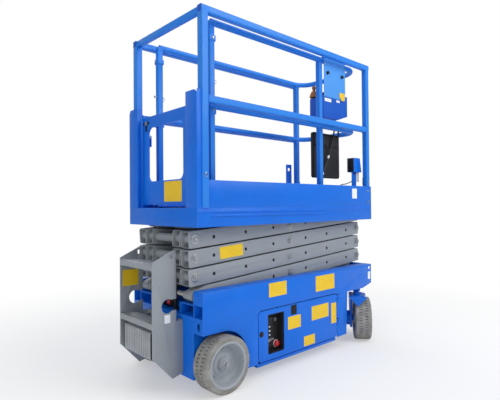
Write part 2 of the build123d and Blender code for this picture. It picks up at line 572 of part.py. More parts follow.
def wheel_pieces(x, y, turn, outward):
    """Tyre and hub as revolved solids on an axle turned about the vertical."""
    t = radians(turn)
    axis_out = (-sin(t) * outward, cos(t) * outward, 0)
    # local X is the radius, local Y runs along the axle
    section = Plane(origin=(x, y, TYRE_R), x_dir=(0, 0, 1), z_dir=(cos(t), sin(t), 0))
    s = 1 if section.y_dir.Y * outward > 0 else -1
    half = TYRE_W / 2
    with BuildPart() as tyre:
        with BuildSketch(section):
            with BuildLine():
                Polyline((RIM_R, -half), (TYRE_R - TYRE_SHOULDER, -half), (TYRE_R, -half + TYRE_SHOULDER),
                         (TYRE_R, half - TYRE_SHOULDER), (TYRE_R - TYRE_SHOULDER, half), (RIM_R, half),
                         close=True)
            make_face()
        revolve(axis=Axis((x, y, TYRE_R), axis_out))
    # cast wheel: nut, raised hub, dished web, rim lip, hollow back
    profile = [(0, 5), (0, 40), (20, 40), (24, 30), (34, 28), (40, 12), (88, 4), (104, 20), (108, 52),
               (114, half + 1), (RIM_R, half + 1), (RIM_R, -half), (110, -half), (104, -10), (46, -14),
               (42, -half - 3), (STUB_R + 0.5, -half - 3), (STUB_R + 0.5, 5)]
    with BuildPart() as hub:
        with BuildSketch(section):
            with BuildLine():
                Polyline(*[(r, s * w) for r, w in profile], close=True)
            make_face()
        revolve(axis=Axis((x, y, TYRE_R), axis_out))
    return tyre.part, hub.part


for name, side in SIDES:
    tyre, hub = wheel_pieces(REAR_AXLE_X, side * TYRE_Y, 0, side)
    save(tyre, "tyre_rear_" + name)
    save(hub, "hub_rear_" + name)

# front wheels on their knuckles, turned about the kingpins
YOKE_HALF = 50.0
MOTOR_R = 52.0
MOTOR_L = 72.0
MOTOR_IN = 110.0             # inner end of the drive motor from the kingpin
WEB_IN = 38.0                # outer face of the hanging web from the kingpin
for name, side in SIDES:
    off = side * KINGPIN_INSET
    tyre, hub = wheel_pieces(FRONT_AXLE_X - off * sin(TURN), side * KINGPIN_Y + off * cos(TURN),
                             STEER_REST, side)
    save(tyre, "tyre_front_" + name)
    save(hub, "hub_front_" + name)
    turned = Plane(origin=(FRONT_AXLE_X, side * KINGPIN_Y, 0), x_dir=(cos(TURN), sin(TURN), 0),
                   z_dir=(0, 0, 1))
    with BuildPart() as knuckle:
        # kingpin and yoke plate over the wheel
        with BuildSketch(turned.offset(YOKE_Z)) as pin:
            Circle(KINGPIN_R)
        extrude(pin.sketch, amount=PAN_Z - PLATE - YOKE_Z)
        with BuildSketch(turned.offset(YOKE_Z)) as yoke:
            with BuildLine():
                Polyline((-YOKE_HALF, -side * 55), (YOKE_HALF, -side * 55), (YOKE_HALF, side * 20),
                         (30, side * 62), (-30, side * 62), (-YOKE_HALF, side * 20), close=True)
            make_face()
        extrude(yoke.sketch, amount=YOKE_T)
        # hanging web, narrower towards the motor
        web = Plane(origin=turned.from_local_coords(Vector(0, -side * WEB_IN, 0)),
                    x_dir=(cos(TURN), sin(TURN), 0), z_dir=(sin(TURN) * side, -cos(TURN) * side, 0))
        up = 1 if web.y_dir.Z > 0 else -1
        with BuildSketch(web) as hanger:
            with BuildLine():
                Polyline((-YOKE_HALF - 18, up * YOKE_Z), (YOKE_HALF + 18, up * YOKE_Z),
                         (MOTOR_R, up * (TYRE_R + 30)), (MOTOR_R, up * (TYRE_R - 60)),
                         (-MOTOR_R, up * (TYRE_R - 60)), (-MOTOR_R, up * (TYRE_R + 30)), close=True)
            make_face()
        extrude(hanger.sketch, amount=14)
        # motor and stub axle
        axle = Plane(origin=turned.from_local_coords(Vector(0, -side * MOTOR_IN, TYRE_R)),
                     x_dir=(cos(TURN), sin(TURN), 0), z_dir=(-sin(TURN) * side, cos(TURN) * side, 0))
        with BuildSketch(axle) as motor:
            Circle(MOTOR_R)
        extrude(motor.sketch, amount=MOTOR_L)
        with BuildSketch(axle) as stub:
            Circle(STUB_R)
        extrude(stub.sketch, amount=MOTOR_IN + KINGPIN_INSET)
        # steering arm
        with BuildSketch(turned.offset(YOKE_Z + YOKE_T - 2)) as hub_block:
            Circle(KINGPIN_R + 9)
        extrude(hub_block.sketch, amount=STEER_ARM_Z + STEER_ARM_T - YOKE_Z - YOKE_T + 2)
        with BuildSketch(turned.offset(STEER_ARM_Z)) as arm:
            with BuildLine():
                Polyline((-22, -22), (STEER_ARM, -14), (STEER_ARM, 14), (-22, 22), close=True)
            make_face()
            with Locations((STEER_ARM, 0)):
                Circle(14)
                Circle(6.5, mode=Mode.SUBTRACT)
        extrude(arm.sketch, amount=STEER_ARM_T)
    save(knuckle.part, "knuckle_" + name)

with BuildPart() as tie_rod:
    tie_x = FRONT_AXLE_X + STEER_ARM * cos(TURN)
    tie_y = STEER_ARM * sin(TURN)
    with BuildSketch(Plane(origin=(tie_x, tie_y - KINGPIN_Y, TIE_Z), x_dir=(1, 0, 0), z_dir=(0, 1, 0))) as bar:
        Circle(7)
    extrude(bar.sketch, amount=2 * KINGPIN_Y)
    for end in (-1, 1):
        post(tie_x, tie_y + end * KINGPIN_Y, 12, TIE_Z - 8, TIE_Z + 7)
        post(tie_x, tie_y + end * KINGPIN_Y, 6, STEER_ARM_Z - 2, TIE_Z)
save(tie_rod.part, "tie_rod")

# ---------------------------------------------------------------- lift cylinder
BARREL_R = 42.0
ROD_R = 24.0
EYE_HALF = 30.0


def arm_point(level):
    """Place (x, z) of the cylinder eye on an inner arm."""
    along, across = CYL_MOUNTS[level]
    z = PIN_Z0 + (level - 0.5) * LEVEL_PITCH
    return (CENTRE_X + along * cos(SLOPE) + across * sin(SLOPE),
            z - along * sin(SLOPE) + across * cos(SLOPE))


foot = arm_point(1)
head = arm_point(3)
cyl_len = hypot(head[0] - foot[0], head[1] - foot[1])
cyl_dir = ((head[0] - foot[0]) / cyl_len, 0, (head[1] - foot[1]) / cyl_len)
along_plane = Plane(origin=(foot[0], 0, foot[1]), x_dir=(0, 1, 0), z_dir=cyl_dir)
with BuildPart() as barrel:
    with BuildSketch(along_plane.offset(28)) as tube:
        Circle(BARREL_R)
    extrude(tube.sketch, amount=cyl_len - 190)
    with BuildSketch(along_plane.offset(cyl_len - 190)) as gland:
        Circle(BARREL_R + 5)
    extrude(gland.sketch, amount=28)
    with BuildSketch(along_plane.offset(60)) as bore:
        Circle(ROD_R + 0.5)
    extrude(bore.sketch, amount=cyl_len, mode=Mode.SUBTRACT)
    cross_disc(*foot, LUG_R + 2, -EYE_HALF, EYE_HALF)
    cross_disc(*foot, PIN_R + PIN_PLAY, -EYE_HALF - 1, EYE_HALF + 1, mode=Mode.SUBTRACT)
save(barrel.part, "cylinder_barrel")
with BuildPart() as rod:
    with BuildSketch(along_plane.offset(120)) as bar:
        Circle(ROD_R)
    extrude(bar.sketch, amount=cyl_len - 120 - 20)
    cross_disc(*head, LUG_R, -EYE_HALF + 2, EYE_HALF - 2)
    cross_disc(*head, PIN_R + PIN_PLAY, -EYE_HALF - 1, EYE_HALF + 1, mode=Mode.SUBTRACT)
save(rod.part, "cylinder_rod")

# ---------------------------------------------------------------- platform
LEDGE_X0 = DECK_X0 + 92.0
LEDGE_X1 = DECK_X1 - 560.0
LEDGE_Z = DECK_CHANNEL_Z - 10.0
SOCKET = (RAIL, 34.0)
POST_CORNER = 7.0
PILLAR_LIP = 26.0
CARRIER_Y = CHANNEL_Y - 2.0

for name, side in SIDES:
    with BuildPart() as skirt:
        # side skirt folded into the channel of the upper rollers, with its bead
        for y0, y1, z0, z1 in ((DECK_Y - SHEET, DECK_Y, SKIRT_BOTTOM, FLOOR_Z),
                               (CHANNEL_Y, DECK_Y - SHEET, SKIRT_BOTTOM, SKIRT_BOTTOM + SHEET),
                               (CHANNEL_Y, DECK_Y - SHEET, DECK_CHANNEL_Z, DECK_CHANNEL_Z + SHEET),
                               (DECK_Y - 1, DECK_Y + 3, DECK_CHANNEL_Z + 14, DECK_CHANNEL_Z + 20)):
            slab(DECK_X0 + SHEET, DECK_X1 - SHEET, side * y0, side * y1, z0, z1)
        # ledge along the rear of the skirt
        slab(LEDGE_X0, LEDGE_X1, side * (DECK_Y - 1), side * (DECK_Y + 8), LEDGE_Z, LEDGE_Z + 10)
    save(skirt.part, "deck_skirt_" + name)

with BuildPart() as deck:
    # floor with its end plates, carriers and pivot shaft of the top inner arms
    slab(DECK_X0, DECK_X1, -DECK_Y, DECK_Y, FLOOR_Z, FLOOR_TOP)
    for x0 in (DECK_X0, DECK_X1 - SHEET):
        slab(x0, x0 + SHEET, -DECK_Y, DECK_Y, SKIRT_BOTTOM, FLOOR_TOP)
    for name, side in SIDES:
        slab(PIN_LEFT_X - 30, PIN_LEFT_X + 30, side * (CARRIER_Y - PLATE), side * CARRIER_Y,
             PLATFORM_PIN_Z - 24, FLOOR_Z)
    cross_disc(PIN_LEFT_X, PLATFORM_PIN_Z, PIN_R, -CARRIER_Y, CARRIER_Y)
save(deck.part, "platform_deck")

for name, side in SIDES:
    with BuildPart() as toe:
        toe_x0 = POST_REAR_X + POST_REAR / 2
        slab(toe_x0, DECK_X1, side * (DECK_Y - SHEET), side * DECK_Y, FLOOR_TOP, TOE_TOP)
        slab(toe_x0, DECK_X1, side * (DECK_Y - 14), side * DECK_Y, TOE_TOP - 3, TOE_TOP)
        # socket of the front rail post
        with BuildSketch(Plane.XY.offset(FLOOR_TOP)) as socket:
            with Locations((POST_FRONT_X, side * (RAIL_Y - 3))):
                Rectangle(*SOCKET)
        extrude(socket.sketch, amount=TOE_TOP - FLOOR_TOP)
    save(toe.part, "toe_board_" + name)

    with BuildPart() as rails:
        for x, size, z0 in ((POST_REAR_X, POST_REAR, FLOOR_TOP), (POST_FRONT_X, RAIL, TOE_TOP)):
            with BuildSketch(Plane.XY.offset(z0)) as upright:
                with Locations((x, side * RAIL_Y)):
                    RectangleRounded(size, size, POST_CORNER)
            extrude(upright.sketch, amount=RAIL_TOP_Z - z0)
        for z, reach in ((RAIL_TOP_Z, RAIL / 2), (RAIL_MID_Z, 0.0)):
            with BuildSketch(Plane.YZ.offset(POST_REAR_X - reach)) as rail:
                with Locations((side * RAIL_Y, z)):
                    RectangleRounded(RAIL, RAIL, POST_CORNER + 2)
            extrude(rail.sketch, amount=POST_FRONT_X - POST_REAR_X + 2 * reach)
    save(rails.part, "main_rails_" + name)

    with BuildPart() as pillar:
        # folded plate with a lip towards the gate
        post_face = POST_REAR_X - POST_REAR / 2
        with BuildSketch(Plane.XY.offset(FLOOR_TOP)) as fold:
            with BuildLine():
                Polyline((DECK_X0, side * PILLAR_Y), (DECK_X0, side * DECK_Y), (post_face, side * DECK_Y),
                         (post_face, side * (DECK_Y - SHEET)), (DECK_X0 + SHEET, side * (DECK_Y - SHEET)),
                         (DECK_X0 + SHEET, side * (PILLAR_Y + SHEET)),
                         (DECK_X0 + PILLAR_LIP, side * (PILLAR_Y + SHEET)),
                         (DECK_X0 + PILLAR_LIP, side * PILLAR_Y), close=True)
            make_face()
        extrude(fold.sketch, amount=PILLAR_TOP - FLOOR_TOP)
        # rounded top corner
        with BuildSketch(Plane.YZ.offset(DECK_X0 - 1)) as corner:
            with BuildLine():
                Line((side * DECK_Y, PILLAR_TOP - 30), (side * DECK_Y, PILLAR_TOP))
                Line((side * DECK_Y, PILLAR_TOP), (side * (DECK_Y - 30), PILLAR_TOP))
                RadiusArc((side * (DECK_Y - 30), PILLAR_TOP), (side * DECK_Y, PILLAR_TOP - 30), side * 30)
            make_face()
        extrude(corner.sketch, amount=SHEET + 1.5, mode=Mode.SUBTRACT)
    save(pillar.part, "entry_pillar_" + name)

with BuildPart() as entry_rail:
    reach = RAIL_Y - POST_REAR / 2
    with BuildSketch(side_plane(reach)) as bar:
        with Locations((POST_REAR_X, RAIL_TOP_Z)):
            RectangleRounded(RAIL - 4, RAIL - 4, POST_CORNER + 1)
    extrude(bar.sketch, amount=2 * reach)
save(entry_rail.part, "entry_top_rail")

# swinging gate between the pillars: folded rim, pressed window, hinge barrels on its inner face
GATE_Z0 = FLOOR_TOP + 18.0
GATE_Z1 = RAIL_MID_Z - 20.0
GATE_RIM = 22.0
WINDOW_Z0 = TOE_TOP + 14.0
WINDOW_Z1 = GATE_Z1 - 68.0
WINDOW_W = 2 * GATE_Y - 128.0
GATE_HINGE_X = GATE_X + GATE_RIM + 6.0
GATE_HINGE_Y = GATE_Y - 10.0
GATE_KNUCKLE_R = 7.0
GATE_KNUCKLES = (GATE_Z0 + 60.0, GATE_Z1 - 110.0)
with BuildPart() as gate:
    gate_mid = (GATE_Z0 + GATE_Z1) / 2
    with BuildSketch(Plane.YZ.offset(GATE_X)) as skin:
        with Locations((0, gate_mid)):
            RectangleRounded(2 * GATE_Y, GATE_Z1 - GATE_Z0, 12)
        with Locations((0, (WINDOW_Z0 + WINDOW_Z1) / 2)):
            RectangleRounded(WINDOW_W, WINDOW_Z1 - WINDOW_Z0, 40, mode=Mode.SUBTRACT)
    extrude(skin.sketch, amount=SHEET)
    with BuildSketch(Plane.YZ.offset(GATE_X)) as rim:
        with Locations((0, gate_mid)):
            RectangleRounded(2 * GATE_Y, GATE_Z1 - GATE_Z0, 12)
            RectangleRounded(2 * GATE_Y - 2 * SHEET, GATE_Z1 - GATE_Z0 - 2 * SHEET, 12 - SHEET,
                             mode=Mode.SUBTRACT)
    extrude(rim.sketch, amount=GATE_RIM)
    with BuildSketch(Plane.YZ.offset(GATE_X)) as fold:
        with Locations((0, (WINDOW_Z0 + WINDOW_Z1) / 2)):
            RectangleRounded(WINDOW_W + 2 * SHEET, WINDOW_Z1 - WINDOW_Z0 + 2 * SHEET, 40 + SHEET)
            RectangleRounded(WINDOW_W, WINDOW_Z1 - WINDOW_Z0, 40, mode=Mode.SUBTRACT)
    extrude(fold.sketch, amount=GATE_RIM - 8)
    for z in GATE_KNUCKLES:
        post(GATE_HINGE_X, -GATE_HINGE_Y, GATE_KNUCKLE_R, z, z + 50)
        slab(GATE_X + SHEET, GATE_HINGE_X, -GATE_HINGE_Y, -GATE_HINGE_Y + 4, z, z + 50)
    # latch pull beside the free edge
    slab(GATE_X + SHEET, GATE_X + GATE_RIM + 10, GATE_Y - 56, GATE_Y - 20, WINDOW_Z1 - 50, WINDOW_Z1 - 44)
    slab(GATE_X + GATE_RIM + 4, GATE_X + GATE_RIM + 10, GATE_Y - 56, GATE_Y - 20, WINDOW_Z1 - 110,
         WINDOW_Z1 - 44)
save(gate.part, "entry_gate")

PLUG = (EXT_POST_X["right"] + 55.0, 29.0 - EXT_Y)   # where the control cable comes down to the deck
OUTLET = (EXT_X1 - 115.0, EXT_X1 - 15.0, TOE_TOP + 108.0, TOE_TOP + 214.0)
OUTLET_Y = EXT_SIDE_Y - 6.0
STAND = (OUTLET[0] + 10, OUTLET[1] - 35, 24 - OUTLET_Y, 30 - OUTLET_Y)
PEDESTAL = (PLUG[0] - 17, PLUG[0] + 31, PLUG[1] - 20, PLUG[1] + 18)
BASES = [(x0 - 2, x1 + 2, y0 - 2, y1 + 2) for x0, x1, y0, y1 in (PEDESTAL, STAND)]
EXT_BACK = 20.0              # deck extension behind its rear posts
EXT_WALL_TOP = TOE_TOP - 10.0
CATCH_X = EXT_X1 - 137.0
CATCH_W = 68.0
CATCH_TOP = TOE_TOP + 208.0
with BuildPart() as ext_deck:
    front = DECK_X1 - 6
    slab(EXT_X0 - EXT_BACK, front, -EXT_SIDE_Y, EXT_SIDE_Y, EXT_FLOOR, EXT_FLOOR_TOP)
    for name, side in SIDES:
        slab(EXT_X0 - EXT_BACK, front, side * (EXT_SIDE_Y - SHEET), side * EXT_SIDE_Y, EXT_FLOOR,
             EXT_WALL_TOP)
        # foot plates of the posts
        for x in (EXT_X0, EXT_POST_X[name]):
            slab(x - EXT_POST, x + EXT_POST, side * (EXT_Y - EXT_POST), side * (EXT_SIDE_Y - SHEET),
                 EXT_FLOOR_TOP, EXT_FLOOR_TOP + SHEET)
    slab(front, DECK_X1, -EXT_SIDE_Y, EXT_SIDE_Y, EXT_FLOOR, TOE_TOP)
    # base plates of the cable socket and of the outlet's stand
    for x0, x1, y0, y1 in BASES:
        slab(x0, x1, y0, y1, EXT_FLOOR_TOP, EXT_FLOOR_TOP + SHEET)
    # drilled catch plate standing on the left wall
    with BuildSketch(side_plane(EXT_SIDE_Y)) as catch:
        with Locations((CATCH_X, (EXT_WALL_TOP - 4 + CATCH_TOP) / 2)):
            Rectangle(CATCH_W, CATCH_TOP - EXT_WALL_TOP + 4)
        with Locations((CATCH_X, CATCH_TOP - 42)):
            Circle(14, mode=Mode.SUBTRACT)
    extrude(catch.sketch, amount=SHEET)
save(ext_deck.part, "extension_deck")

SLEEVE = 6.0                 # a post sleeve stands this far outside its post
SLEEVE_Z = ((RAIL_MID_Z - 57.0, RAIL_MID_Z - 13.0), (RAIL_TOP_Z - 122.0, RAIL_TOP_Z - 93.0))
with BuildPart() as ext_rails:
    for z in (EXT_TOP_Z, EXT_MID_Z):
        with BuildLine() as path:
            FilletPolyline((EXT_X0, -EXT_Y, z), (EXT_X1, -EXT_Y, z), (EXT_X1, EXT_Y, z), (EXT_X0, EXT_Y, z),
                           radius=EXT_CORNER_R)
        with BuildSketch(Plane(origin=(EXT_X0, -EXT_Y, z), x_dir=(0, 1, 0), z_dir=(1, 0, 0))) as tube:
            Circle(EXT_TUBE_R)
        sweep(tube.sketch, path=path.line)
    for name, side in SIDES:
        for x in (EXT_X0, EXT_POST_X[name]):
            with BuildSketch(Plane.XY.offset(EXT_FLOOR_TOP + SHEET)) as upright:
                with Locations((x, side * EXT_Y)):
                    RectangleRounded(EXT_POST, EXT_POST, POST_CORNER - 1)
            extrude(upright.sketch, amount=EXT_TOP_Z - EXT_FLOOR_TOP - SHEET)
    for z0, z1 in SLEEVE_Z:
        with BuildSketch(Plane.XY.offset(z0)) as sleeves:
            with Locations((EXT_X0, -EXT_Y), (EXT_X0, EXT_Y)):
                RectangleRounded(EXT_POST + 2 * SLEEVE, EXT_POST + 2 * SLEEVE, POST_CORNER + 2)
        extrude(sleeves.sketch, amount=z1 - z0)
save(ext_rails.part, "extension_rails")

# ---------------------------------------------------------------- platform controls
BOX_X0 = EXT_POST_X["right"] + EXT_POST / 2 + 4.0
BOX_X1 = BOX_X0 + 285.0
BOX_Z0 = EXT_MID_Z + EXT_TUBE_R + 41.0
BOX_Z1 = EXT_TOP_Z - 227.0         # top at the front, the panel slopes down to the rear
BOX_DROP = 30.0
BOX_CUT = (115.0, 38.0)            # raked corner under the front
BOX_Y = EXT_Y + 20.0               # outer face, on the near side
BOX_D = 123.0
HANGER_T = 5.0
HANGER_TOP = EXT_TOP_Z + EXT_TUBE_R + HANGER_T
HANGER_Y = EXT_Y - EXT_TUBE_R - 1.0
CABLE_R = 6.0
GLAND_R = 11.0
GLAND = (BOX_X0 + 193.0, 51.0 - BOX_Y)
GLAND_Z = BOX_Z0 - 16.0
SOCKET_TOP = TOE_TOP - 6.0
PLUG_R = 12.0
PLUG_TOP = SOCKET_TOP + 22.0
# route of the control cable, from the gland under the box down to its socket on the deck
CABLE = [(GLAND[0] - back, GLAND[1] - out, z) for back, out, z in
         ((0, 0, GLAND_Z), (0, 0, EXT_MID_Z), (23, 1, EXT_MID_Z - 78), (56, 1, EXT_MID_Z - 164))]
CABLE += [(PLUG[0] + ahead, PLUG[1] + inward, PLUG_TOP + above) for ahead, inward, above in
          ((60, 2, 152), (23, 1, 88), (7, 0, 52), (0, 0, 24), (0, 0, 0))]

with BuildPart() as control_box:
    with BuildSketch(side_plane(-BOX_Y)) as body:
        with BuildLine():
            Polyline((BOX_X0, BOX_Z0), (BOX_X1 - BOX_CUT[0], BOX_Z0), (BOX_X1, BOX_Z0 + BOX_CUT[1]),
                     (BOX_X1, BOX_Z1), (BOX_X0, BOX_Z1 - BOX_DROP), close=True)
        make_face()
    extrude(body.sketch, amount=-BOX_D)
    # raised frame round the panel
    with BuildSketch(side_plane(-BOX_Y)) as frame:
        with BuildLine():
            Polyline((BOX_X0, BOX_Z1 - BOX_DROP - 12), (BOX_X1, BOX_Z1 - 12), (BOX_X1, BOX_Z1 + 7),
                     (BOX_X0, BOX_Z1 - BOX_DROP + 7), close=True)
        make_face()
    extrude(frame.sketch, amount=-5)
    # plate and hook on the rail
    for y0, y1, z0 in ((-BOX_Y - HANGER_T, -BOX_Y, BOX_Z1 - 30),
                       (-BOX_Y - HANGER_T, -HANGER_Y + HANGER_T, HANGER_TOP - HANGER_T),
                       (-HANGER_Y, -HANGER_Y + HANGER_T, HANGER_TOP - 28)):
        slab(BOX_X0 + 4, BOX_X1 - 30, y0, y1, z0, HANGER_TOP)
    # gland of the cable
    post(CABLE[0][0], CABLE[0][1], GLAND_R, GLAND_Z, BOX_Z0 + BOX_CUT[1])
save(control_box.part, "control_box")

JOY_X = BOX_X0 + 27.0
JOY_Y = BOX_Y - 106.0
JOY_Z = BOX_Z1 - BOX_DROP + 9.0
JOY_PROFILE = ((0, 0), (24, 0), (25, 5), (19, 13), (21, 18), (15, 26), (17, 31), (11, 39), (11, 62),
               (15, 70), (15, 80), (10, 85), (0, 85))
with BuildPart() as joystick:
    with BuildSketch(Plane(origin=(JOY_X, -JOY_Y, JOY_Z), x_dir=(1, 0, 0), z_dir=(0, -1, 0))) as section:
        with BuildLine():
            Polyline(*JOY_PROFILE, close=True)
        make_face()
    revolve(section.sketch, axis=Axis((JOY_X, -JOY_Y, JOY_Z), (0, 0, 1)))
save(joystick.part, "joystick")

with BuildPart() as cable_socket:
    # pedestal on the deck with the cable's plug
    slab(*PEDESTAL, EXT_FLOOR_TOP + SHEET, SOCKET_TOP)
    post(*PLUG, PLUG_R, SOCKET_TOP, PLUG_TOP)
save(cable_socket.part, "cable_socket")

corners = [Vector(*point) for point in CABLE]
runs = [b - a for a, b in zip(corners, corners[1:])]
radii = [0.45 * min(a.length, b.length) / tan(radians(a.get_angle(b) / 2)) for a, b in zip(runs, runs[1:])]
with BuildPart() as cable:
    with BuildLine() as route:
        FilletPolyline(*CABLE, radius=radii)
    with BuildSketch(Plane(origin=corners[0], x_dir=(1, 0, 0), z_dir=runs[0].normalized())) as core:
        Circle(CABLE_R)
    sweep(core.sketch, path=route.line)
save(cable.part, "control_cable")
cable_len = route.wire().length
print("cable radii", [round(r) for r in radii], "length", round(cable_len), "volume over section times length",
      round(cable.part.volume / (pi * CABLE_R ** 2 * cable_len), 4))

MANUAL = (310.0, 24.0, 325.0)
MANUAL_Y = EXT_Y - 44.0            # outer face of the case, inside the rail
MANUAL_X0 = EXT_POST_X["right"] - 16.0
MANUAL_TOP = EXT_MID_Z - 37.0
STRAP_T = 4.0
STRAP_Y = EXT_Y - EXT_TUBE_R - 3.0
STRAP_TOP = EXT_MID_Z + EXT_TUBE_R + STRAP_T
with BuildPart() as manual_box:
    # lidded case, hung inside the mid rail by two straps
    case_x = MANUAL_X0 + MANUAL[0] / 2
    with BuildSketch(side_plane(-MANUAL_Y + 4)) as case:
        with Locations((case_x, MANUAL_TOP - MANUAL[2] / 2)):
            RectangleRounded(MANUAL[0], MANUAL[2], 18)
    extrude(case.sketch, amount=-MANUAL[1] + 4)
    with BuildSketch(side_plane(-MANUAL_Y)) as lid:
        with Locations((case_x, MANUAL_TOP - 50)):
            RectangleRounded(MANUAL[0] - 16, 84, 12)
    extrude(lid.sketch, amount=-4)
    for x in (case_x - 97, case_x + 113):
        outer = EXT_Y + EXT_TUBE_R + STRAP_T
        for y0, y1, z0, z1 in ((MANUAL_Y - 8, STRAP_Y, MANUAL_TOP - 12, MANUAL_TOP - 12 + STRAP_T),
                               (STRAP_Y - STRAP_T, STRAP_Y, MANUAL_TOP - 12, STRAP_TOP),
                               (STRAP_Y - STRAP_T, outer, STRAP_TOP - STRAP_T, STRAP_TOP),
                               (outer - STRAP_T, outer, EXT_MID_Z, STRAP_TOP)):
            slab(x - 10, x + 10, -y1, -y0, z0, z1)
save(manual_box.part, "manual_box")

with BuildPart() as outlet_box:
    # socket box with a raked front on its stand
    x0, x1, z0, z1 = OUTLET
    with BuildSketch(side_plane(-OUTLET_Y)) as shell:
        with BuildLine():
            Polyline((x0, z0), (x1, z0), (x1 - 20, z1), (x0, z1), close=True)
        make_face()
    extrude(shell.sketch, amount=-60)
    slab(*STAND, EXT_FLOOR_TOP + SHEET, z0)
save(outlet_box.part, "outlet_box")
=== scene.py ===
import json
import math
import bpy
from bpy.props import FloatProperty, FloatVectorProperty, IntProperty
from mathutils import Matrix, Vector

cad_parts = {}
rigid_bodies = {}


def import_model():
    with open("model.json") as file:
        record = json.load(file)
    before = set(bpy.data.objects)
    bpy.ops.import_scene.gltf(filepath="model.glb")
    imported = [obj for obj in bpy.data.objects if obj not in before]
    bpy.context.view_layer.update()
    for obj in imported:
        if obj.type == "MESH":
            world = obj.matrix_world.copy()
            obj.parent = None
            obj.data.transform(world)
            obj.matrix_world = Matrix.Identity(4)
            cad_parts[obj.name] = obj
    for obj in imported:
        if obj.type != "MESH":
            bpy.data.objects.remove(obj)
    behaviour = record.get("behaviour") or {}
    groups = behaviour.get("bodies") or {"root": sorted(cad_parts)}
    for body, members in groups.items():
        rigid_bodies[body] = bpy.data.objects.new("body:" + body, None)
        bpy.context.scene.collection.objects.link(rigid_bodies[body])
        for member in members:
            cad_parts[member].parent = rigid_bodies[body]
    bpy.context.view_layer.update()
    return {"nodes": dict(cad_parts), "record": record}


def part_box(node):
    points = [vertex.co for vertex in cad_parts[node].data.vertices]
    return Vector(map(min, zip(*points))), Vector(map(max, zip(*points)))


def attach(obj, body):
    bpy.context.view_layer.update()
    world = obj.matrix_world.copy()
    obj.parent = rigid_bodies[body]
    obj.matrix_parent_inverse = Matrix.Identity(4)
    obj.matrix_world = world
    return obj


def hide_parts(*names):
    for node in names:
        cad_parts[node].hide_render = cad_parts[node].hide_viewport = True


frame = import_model()

bl_info = {
    "name": "Slab scissor lift",
    "version": (1, 0, 0),
    "blender": (4, 5, 0),
    "location": "3D View > Sidebar > Scissor Lift",
    "description": "Dresses the scissor lift: pieces, fittings and finishes, one operator each",
    "category": "Object",
}

# places below are millimetres in the lift's own drawing, whose rear chassis plate is at this x
MM = 0.001
REAR_X = -703.0
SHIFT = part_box("side_plate_right")[0].x - REAR_X * MM
RECORD = frame["record"]
BODY = {node: body for body, nodes in RECORD["behaviour"]["bodies"].items() for node in nodes}
SIDES = (("right", -1), ("left", 1))

# heights and places that several operators share
CHASSIS_Y, DECK_Y, EXT_Y = 366.0, 362.0, 270.0
PIN_LEFT_X, PIN_RIGHT_X, CENTRE_X = -676.0, 832.5, 78.25
PIN_Z, PITCH, LEVELS = 510.0, 102.0, 4
SLOPE = math.atan2(PITCH, PIN_RIGHT_X - PIN_LEFT_X)
SPAN = math.hypot(PITCH, PIN_RIGHT_X - PIN_LEFT_X)
ARM_Y = 264.0

# wheels: tyre radius and width, rear axle, kingpin, the wheel's distance from it and its turn at rest
TYRE_R, TYRE_W, REAR_AXLE = 152.5, 114.0, (-566.0, 348.0)
KINGPIN, WHEEL_OFFSET, TURN = (754.0, 312.0), 36.0, math.radians(40)
# hinge line of both trays, posts of the main rails, rear and front posts of the roll-out deck
TRAY_HINGE_X, POSTS_X = 452.0, (-679, 846)
EXT_REAR_X, EXT_FRONT_X = -569, {"right": 388, "left": 760}
# shares of an arm's span at which its tubes are drilled
DRILLED = (0.084, 0.242, 0.397, 0.603, 0.756, 0.910)
# slope of the control box's top panel, and where it starts
PANEL_RISE, PANEL_RUN, PANEL_X, PANEL_Z = 30, 285, 410, 1767


def linear(code):
    """sRGB hex to the linear colour that shaders take."""
    channels = [int(code[i:i + 2], 16) / 255 for i in (1, 3, 5)]
    return tuple(c / 12.92 if c <= 0.04045 else ((c + 0.055) / 1.055) ** 2.4 for c in channels) + (1.0,)


def colour_of(name, text, code):
    return FloatVectorProperty(name=name, description=text, subtype="COLOR", size=4, min=0, max=1,
                               default=linear(code))


def length_of(name, text, value):
    return FloatProperty(name=name, description=text, subtype="DISTANCE", unit="LENGTH", min=0.0,
                         default=value * MM)


class LIFT_PG_colours(bpy.types.PropertyGroup):
    """Colours of the lift's finishes"""
    blue: colour_of("Body blue", "Enamel of the chassis, the platform and the gate", "#006EE0")
    # painted light: the rails' blue is the body blue lightened for light falling from above
    rail: colour_of("Rail blue", "Lighter enamel of the guard rails", "#2583E6")
    box: colour_of("Box blue", "Enamel of the control box", "#0A5AC4")
    hanger: colour_of("Plate blue", "Pale enamel of the control box's hanger plate", "#4E9DEE")
    grey: colour_of("Arm grey", "Enamel of the arms and the ladder", "#989EA3")
    wheel: colour_of("Wheel grey", "Enamel of the cast wheels", "#A3A9AF")
    tyre: colour_of("Tyre", "Non-marking rubber", "#979590")
    yellow: colour_of("Label yellow", "Blank vinyl labels", "#F2C81A")
    white: colour_of("Label white", "Blank white labels and marks", "#F1F2F2")
    black: colour_of("Black plastic", "Control panels, the case and grips", "#17181A")
    red: colour_of("Stop red", "Emergency stop buttons", "#C3151B")
    tan: colour_of("Grip tan", "Moulded boot and grip of the joystick", "#B5743F")


class LIFT_PG_sizes(bpy.types.PropertyGroup):
    """Sizes of what is added to the lift's solids"""
    edge: length_of("Edge", "Broken edge of folded sheet and tube", 1.4)
    arm_edge: length_of("Arm corner", "Rounded corner of the arm tubes", 3.0)
    label: length_of("Label", "Thickness of a vinyl label", 0.5)
    bead: length_of("Weld", "Half width of a weld bead", 3.0)
    washer: length_of("Washer", "Radius of the washer under a pin head", 25.0)
    slit: length_of("Slit", "Depth of the slits in a tyre's tread", 3.0)
    slits: IntProperty(name="Slits", description="Slits in each row round a tyre", default=48, min=12,
                       max=120)
    line: length_of("Line", "Radius of a hydraulic line", 6.0)


